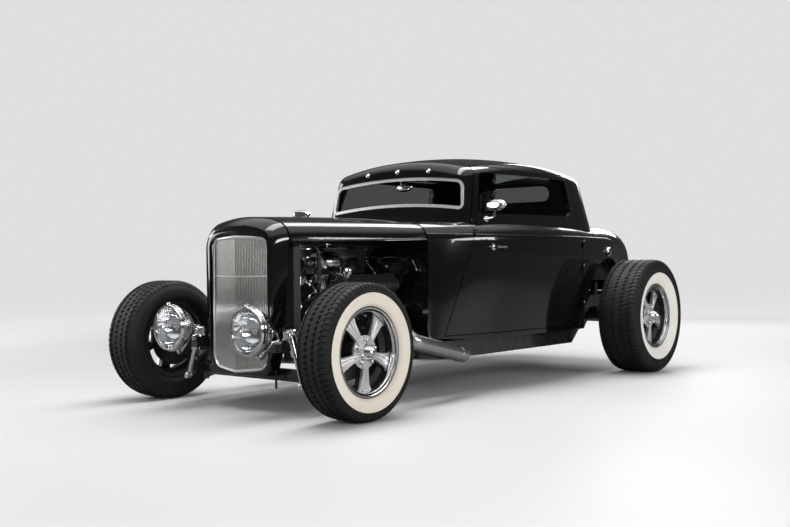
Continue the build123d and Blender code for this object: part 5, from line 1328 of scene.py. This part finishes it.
def crowned_pad(low, high, crown, lean=0.0):
    """A closed pad, fuller in the middle than at its edges, leaning back by an angle."""
    low, high = Vector(low), Vector(high)
    pad = box(low, high)
    edit(pad)
    bpy.ops.mesh.subdivide(number_cuts=7)
    bpy.ops.object.mode_set(mode="OBJECT")
    middle, half = (low + high) / 2, (high - low) / 2
    for v in pad.data.vertices:
        place = [(v.co[i] - middle[i]) / half[i] for i in range(3)]
        for i in range(3):
            j, k = (i + 1) % 3, (i + 2) % 3
            pull = (1 - place[j] ** 4) * (1 - place[k] ** 4)
            v.co[i] += place[i] * crown * (pull - 0.55)
    if lean:
        pad.data.transform(turned_about(middle, lean, "Y"))
    return pad


def inflated(pad, voxel, cap):
    """Blows the cover up with cloth, holding each point within a cap of where it began."""
    pick(pad)
    pad.data.remesh_voxel_size = voxel
    bpy.ops.object.voxel_remesh()
    start = [v.co.copy() for v in pad.data.vertices]
    cloth = pad.modifiers.new("Cloth", "CLOTH")
    cloth.settings.use_pressure = True
    cloth.settings.uniform_pressure_force = 4.0
    cloth.settings.quality = 4
    cloth.settings.effector_weights.gravity = 0.0
    for number in range(1, 21):
        scene.frame_set(number)
    shaped = pad.evaluated_get(bpy.context.evaluated_depsgraph_get())
    ends = [v.co.copy() for v in shaped.to_mesh().vertices]
    shaped.to_mesh_clear()
    pad.modifiers.remove(cloth)
    scene.frame_set(1)
    for v, a, b in zip(pad.data.vertices, start, ends):
        move = b - a
        if move.length > cap:
            move *= cap / move.length
        v.co = a + move
    return pad


def channelled(pad, pitch, depth, way, limit):
    """Presses sewn channels, one to a pitch across the car, into the side of a pad that faces one way."""
    groove = 0.008
    turned_to = [n.vector.dot(way) for n in pad.data.vertex_normals]
    for v, square in zip(pad.data.vertices, turned_to):
        if square < 0.35 or abs(v.co.y) > limit:
            continue
        place = v.co.y / pitch
        near = abs(place - round(place)) * pitch
        if near < groove:
            v.co -= way * depth * (1 - (near / groove) ** 2)


def make_seat():
    """A bench cushion and a leaning squab with sewn channels, the cushion's piping and a trimmed base."""
    voxel, cap = 0.0085, 0.012
    cushion = crowned_pad((-0.628, -0.468, 0.440), (-0.162, 0.468, 0.552), 0.030)
    cushion = inflated(cushion, voxel, cap)
    squab = crowned_pad((-0.785, -0.468, 0.452), (-0.700, 0.468, 0.905), 0.026, -SQUAB_LEAN)
    squab = inflated(squab, voxel, cap)
    squab_faces = Vector((cos(SQUAB_LEAN), 0, sin(SQUAB_LEAN)))
    for pad, name, way in ((cushion, "seat_cushion", UP), (squab, "seat_squab", squab_faces)):
        apply_modifier(pad, "SUBSURF", levels=1)
        channelled(pad, 0.062, 0.0075, way, 0.43)
        done(pad, name, "leather", 180)
    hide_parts("bench_seat")

    base = box((-0.600, -0.448, 0.3115), (-0.196, 0.448, 0.4335), 0.014, 3)
    tunnel = tunnel_room()
    apply_modifier(base, "BOOLEAN", object=tunnel, operation="DIFFERENCE")
    bpy.data.objects.remove(tunnel)
    done(base, "seat_base", "carpet", 30)
    piping = []
    for z in (0.492, 0.520):
        piping.append(tube([(-0.166, y, z) for y in (-0.40, -0.2, 0.0, 0.2, 0.40)], 0.0035, 10))
    done(join(piping), "seat_piping", "leather", 40)


def tunnel_room():
    """The room that the transmission tunnel takes up under the seat."""
    left_half = [(-0.85, 0.080, 0.486), (-0.85, 0.112, 0.452), (-0.85, 0.125, 0.27)]
    return prism([(x, -y, z) for x, y, z in left_half[::-1]] + left_half, FORWARD * 0.95)


def make_dials():
    """Dial bezels, faces with bare tick marks, needles and glasses in the dash's openings."""
    large, small = (0.052, 24), (0.024, 12)
    rims, marks, faces, glasses = [], [], [], []
    for y, (r, count) in ((0.150, large), (-0.010, large), (0.070, small), (-0.085, small), (0.230, small)):
        centre = Vector((DASH_X, y, DIAL_Z))
        rim = [(0.0, r - 0.0005), (0.0, r + 0.002), (0.003, r + 0.0035), (0.006, r + 0.001),
               (0.005, r - 0.0015)]
        rims.append(ring(rim, centre, -FORWARD, 48))
        face = [(0.0, r - 0.0008), (-0.003, r - 0.0008), (-0.003, 0.0)]
        faces.append(knob(face, (0.2690, y, DIAL_Z), -FORWARD, 40))
        tick = box((0.2680, y - 0.0007, DIAL_Z + r * 0.78), (0.2688, y + 0.0007, DIAL_Z + r * 0.93))
        low, high = (0.2655, y - 0.0011, DIAL_Z - r * 0.18), (0.2663, y + 0.0011, DIAL_Z + r * 0.70)
        needle = placed(box(low, high, 0.0004, 1), turned_about(centre, NEEDLE_TURN, "X"))
        hub = knob([(0.0, r * 0.11), (0.002, r * 0.09), (0.003, 0.0)], (0.2662, y, DIAL_Z), -FORWARD, 20)
        marks += [around(tick, centre, FORWARD, count), needle, hub]
        glass = [(0.0, r - 0.001), (0.0012, r - 0.001), (0.0028, 0.0)]
        glasses.append(knob(glass, (0.2632, y, DIAL_Z), -FORWARD, 40))
    done(join(rims), "dial_rims", "chrome", 40)
    done(join(faces), "dial_faces", "dial_face", 30)
    done(join(marks), "dial_marks", "dial_mark", 30)
    done(join(glasses), "dial_glasses", "clear_glass", 40)


def make_dash_fittings():
    """Knobs along the dash, and the fine seam round the glove box."""
    section = [(0.0, 0.0085), (0.002, 0.0085), (0.003, 0.004), (0.012, 0.004), (0.014, 0.010), (0.020, 0.011),
               (0.024, 0.008), (0.025, 0.0)]
    knobs = [knob(section, (0.2622, y, 0.820), -FORWARD, 20) for y in (-0.19, -0.25, -0.31, 0.29)]
    done(join(knobs), "dash_knobs", "polished_aluminium", 40)
    corners = ((-0.300, 0.876), (-0.430, 0.876), (-0.430, 0.810), (-0.300, 0.810))
    seam = tube([(0.2612, y, z) for y, z in corners], 0.0014, 8, smooth_path=False, closed=True)
    done(seam, "glove_box_seam", "chrome", 40)


def make_steering_wheel_trim():
    """The horn button, the finger grips under the steering wheel's rim, and the column's collar and stalk."""
    axis = (COLUMN_TOP - COLUMN_LOW).normalized()
    button = [(0.0, 0.027), (0.004, 0.0285), (0.009, 0.025), (0.0145, 0.014), (0.016, 0.0)]
    button = knob(button, COLUMN_TOP + axis * 0.0178, axis, 40)
    bezel = [(0.0, 0.0288), (0.0, 0.032), (0.003, 0.033), (0.005, 0.030)]
    bezel = ring(bezel, COLUMN_TOP + axis * 0.0150, axis, 40)
    done(join([button, bezel]), "horn_button", "chrome", 40, body="steering_wheel_body")

    up_way = axis.cross(LEFT).normalized()
    grips = []
    for number in range(36):
        turn = 2 * pi * number / 36
        centre = COLUMN_TOP + (LEFT * cos(turn) + up_way * sin(turn)) * 0.1642 - axis * 0.0058
        along = up_way * cos(turn) - LEFT * sin(turn)
        grips.append(rod(centre - along * 0.009, centre + along * 0.009, 0.0052, 8))
    done(join(grips), "steering_wheel_grips", "wheel_rim_plastic", 60, body="steering_wheel_body")

    collar = strap(COLUMN_LOW + axis * 0.26, axis, 0.012, 0.0222, 0.0245, 32)
    start = COLUMN_LOW + axis * 0.56
    moves = ((0, 0.020, 0), (-0.005, 0.075, 0.004), (-0.008, 0.112, 0.010))
    stalk = tube([start + Vector(move) for move in moves], 0.0036, 10)
    tip = [(0.0, 0.0055), (0.012, 0.0065), (0.018, 0.004), (0.019, 0.0)]
    tip = knob(tip, start + Vector((-0.008, 0.110, 0.010)), (0, 1, 0.2), 16)
    done(join([collar, stalk, tip]), "column_fittings", "chrome", 40)


def make_controls():
    """Two ribbed pedals on levers, the throttle's treadle, and the gear lever with its gaiter and knob."""
    pads, levers = [], []
    for y in (0.245, 0.395):
        pads.append(block_at((0.403, y, 0.451), (0.010, 0.068, 0.062), 0.004))
        for number in range(4):
            pads.append(block_at((0.3975, y, 0.4315 + number * 0.013), (0.004, 0.056, 0.005), 0.001, 1))
        line = ((0.406, 0.452), (0.440, 0.470), (0.500, 0.520), (0.560, 0.600), (0.616, 0.640))
        levers.append(tube([(x, y, z) for x, z in line], 0.006, 12))
    treadle = box((0.404, 0.196, 0.318), (0.414, 0.226, 0.446), 0.004)
    placed(treadle, turned_about((0.409, 0.2, 0.318), radians(28), "Y"))
    done(join([*pads, treadle]), "pedal_pads", "black_moulding", 35)
    done(join(levers), "pedal_levers", "cast_steel", 45)

    folds = []
    for number in range(5):
        folds.append((0.010 * number, 0.050 - 0.0075 * number))
        folds.append((0.010 * number + 0.005, 0.046 - 0.0075 * number))
    gaiter = knob([*folds, (0.052, 0.010), (0.054, 0.0)], (0.235, 0, 0.521), UP, 32)
    done(gaiter, "gear_lever_gaiter", "leather", 50)
    lever = tube([(0.235, 0, 0.560), (0.226, 0, 0.640), (0.190, 0, 0.720), (0.178, 0, 0.752)], 0.0062, 16)
    done(lever, "gear_lever", "chrome", 45)
    ball = smooth_line([(-0.004, 0.006), (0.002, 0.016), (0.018, 0.0235), (0.034, 0.017), (0.0405, 0.0)])
    done(spun(ball, (0.178, 0, 0.748), (-0.25, 0, 1), 32, False), "gear_knob", "wheel_rim_plastic", 60)


def make_door_inside(side, hand):
    """A window winder and a padded arm rest on the door's inner side."""
    body = f"door_{hand}_body"
    centre = Vector((0.020, 0.566, 0.720))
    plate = [(0.0, 0.021), (0.004, 0.020), (0.007, 0.012), (0.008, 0.0)]
    plate = knob(plate, centre + LEFT * 0.004, -LEFT, 28)
    moves = ((0, -0.006, 0), (-0.030, -0.011, -0.020), (-0.062, -0.013, -0.042))
    line = [centre + Vector(move) for move in moves]
    grip = knob([(0.0, 0.006), (0.012, 0.010), (0.022, 0.0095), (0.025, 0.0)], line[-1], -LEFT, 20)
    winder = on_side(join([plate, tube(line, 0.0055, 12), grip]), side)
    done(winder, f"window_winder_{hand}", "chrome", 45, body=body)
    rest = crowned_pad((-0.480, 0.515, 0.640), (-0.120, 0.572, 0.685), 0.006)
    apply_modifier(rest, "SUBSURF", levels=1)
    done(on_side(rest, side), f"arm_rest_{hand}", "leather", 60, body=body)


# Chassis

def make_chassis_hardware():
    """Bolts on the frame, links and rear axle, the differential's cover bolts and the rear brake pipe."""
    bolts = []
    for side in (-1, 1):
        out = LEFT * side
        for z in (0.430, 0.285):
            bolts.append(bolt((-1.143, 0.412 * side, z), out, 0.009, 0.0095))
            bolts.append(bolt((-1.143, 0.388 * side, z), -out, 0.008, 0.0095))
        bolts.append(bolt((0.790, 0.508 * side, 0.236), out, 0.009, 0.0105))
        for z in (0.168, 0.132):
            bolts.append(bolt((1.4755, 0.430 * side, z), FORWARD, 0.0085, 0.0085))
        bolts.append(bolt((-1.338, 0.314 * side, 0.330), out, 0.008, 0.0085))
    done(join(bolts), "chassis_bolts", "cast_steel", 35)
    axle_z = WHEELS["rear_left"][2]
    cover_bolt = bolt((-1.3165, 0, axle_z + 0.083), FORWARD, 0.008, 0.0075)
    cover_bolts = around(cover_bolt, (-1.31, 0, axle_z), FORWARD, 10)
    done(cover_bolts, "differential_cover_bolts", "cast_steel", 35)
    left_half = [(-1.180, 0.090, 0.462), (-1.216, 0.300, 0.4125), (-1.215, 0.620, 0.413)]
    line = [(x, -y, z) for x, y, z in left_half[::-1]] + [(-1.170, 0.0, 0.500)] + left_half
    done(tube(line, 0.0026, 8), "brake_pipe", "polished_steel", 45)


finish_cad_nodes()
make_floor()
make_backdrop()
make_lamps()
make_camera()

for wheel_name in WHEELS:
    make_tyre(wheel_name)
    make_wheel_hardware(wheel_name)
for car_side, car_hand in HANDS:
    make_headlamp(car_side, car_hand)
    make_door_fittings(car_side, car_hand)
    make_door_inside(car_side, car_hand)
make_grille_dressing()
make_grille_shell()
make_belt()
make_screen_trim()
make_tail_trim()
make_front_fittings()
make_rocker_covers()
make_carburettor()
make_distributor()
make_intake_runners()
make_alternator()
make_front_cover_bolts()
make_cooling()
make_exhaust_fittings()
make_bulkhead_pipework()
make_seat()
make_dials()
make_dash_fittings()
make_steering_wheel_trim()
make_controls()
make_chassis_hardware()
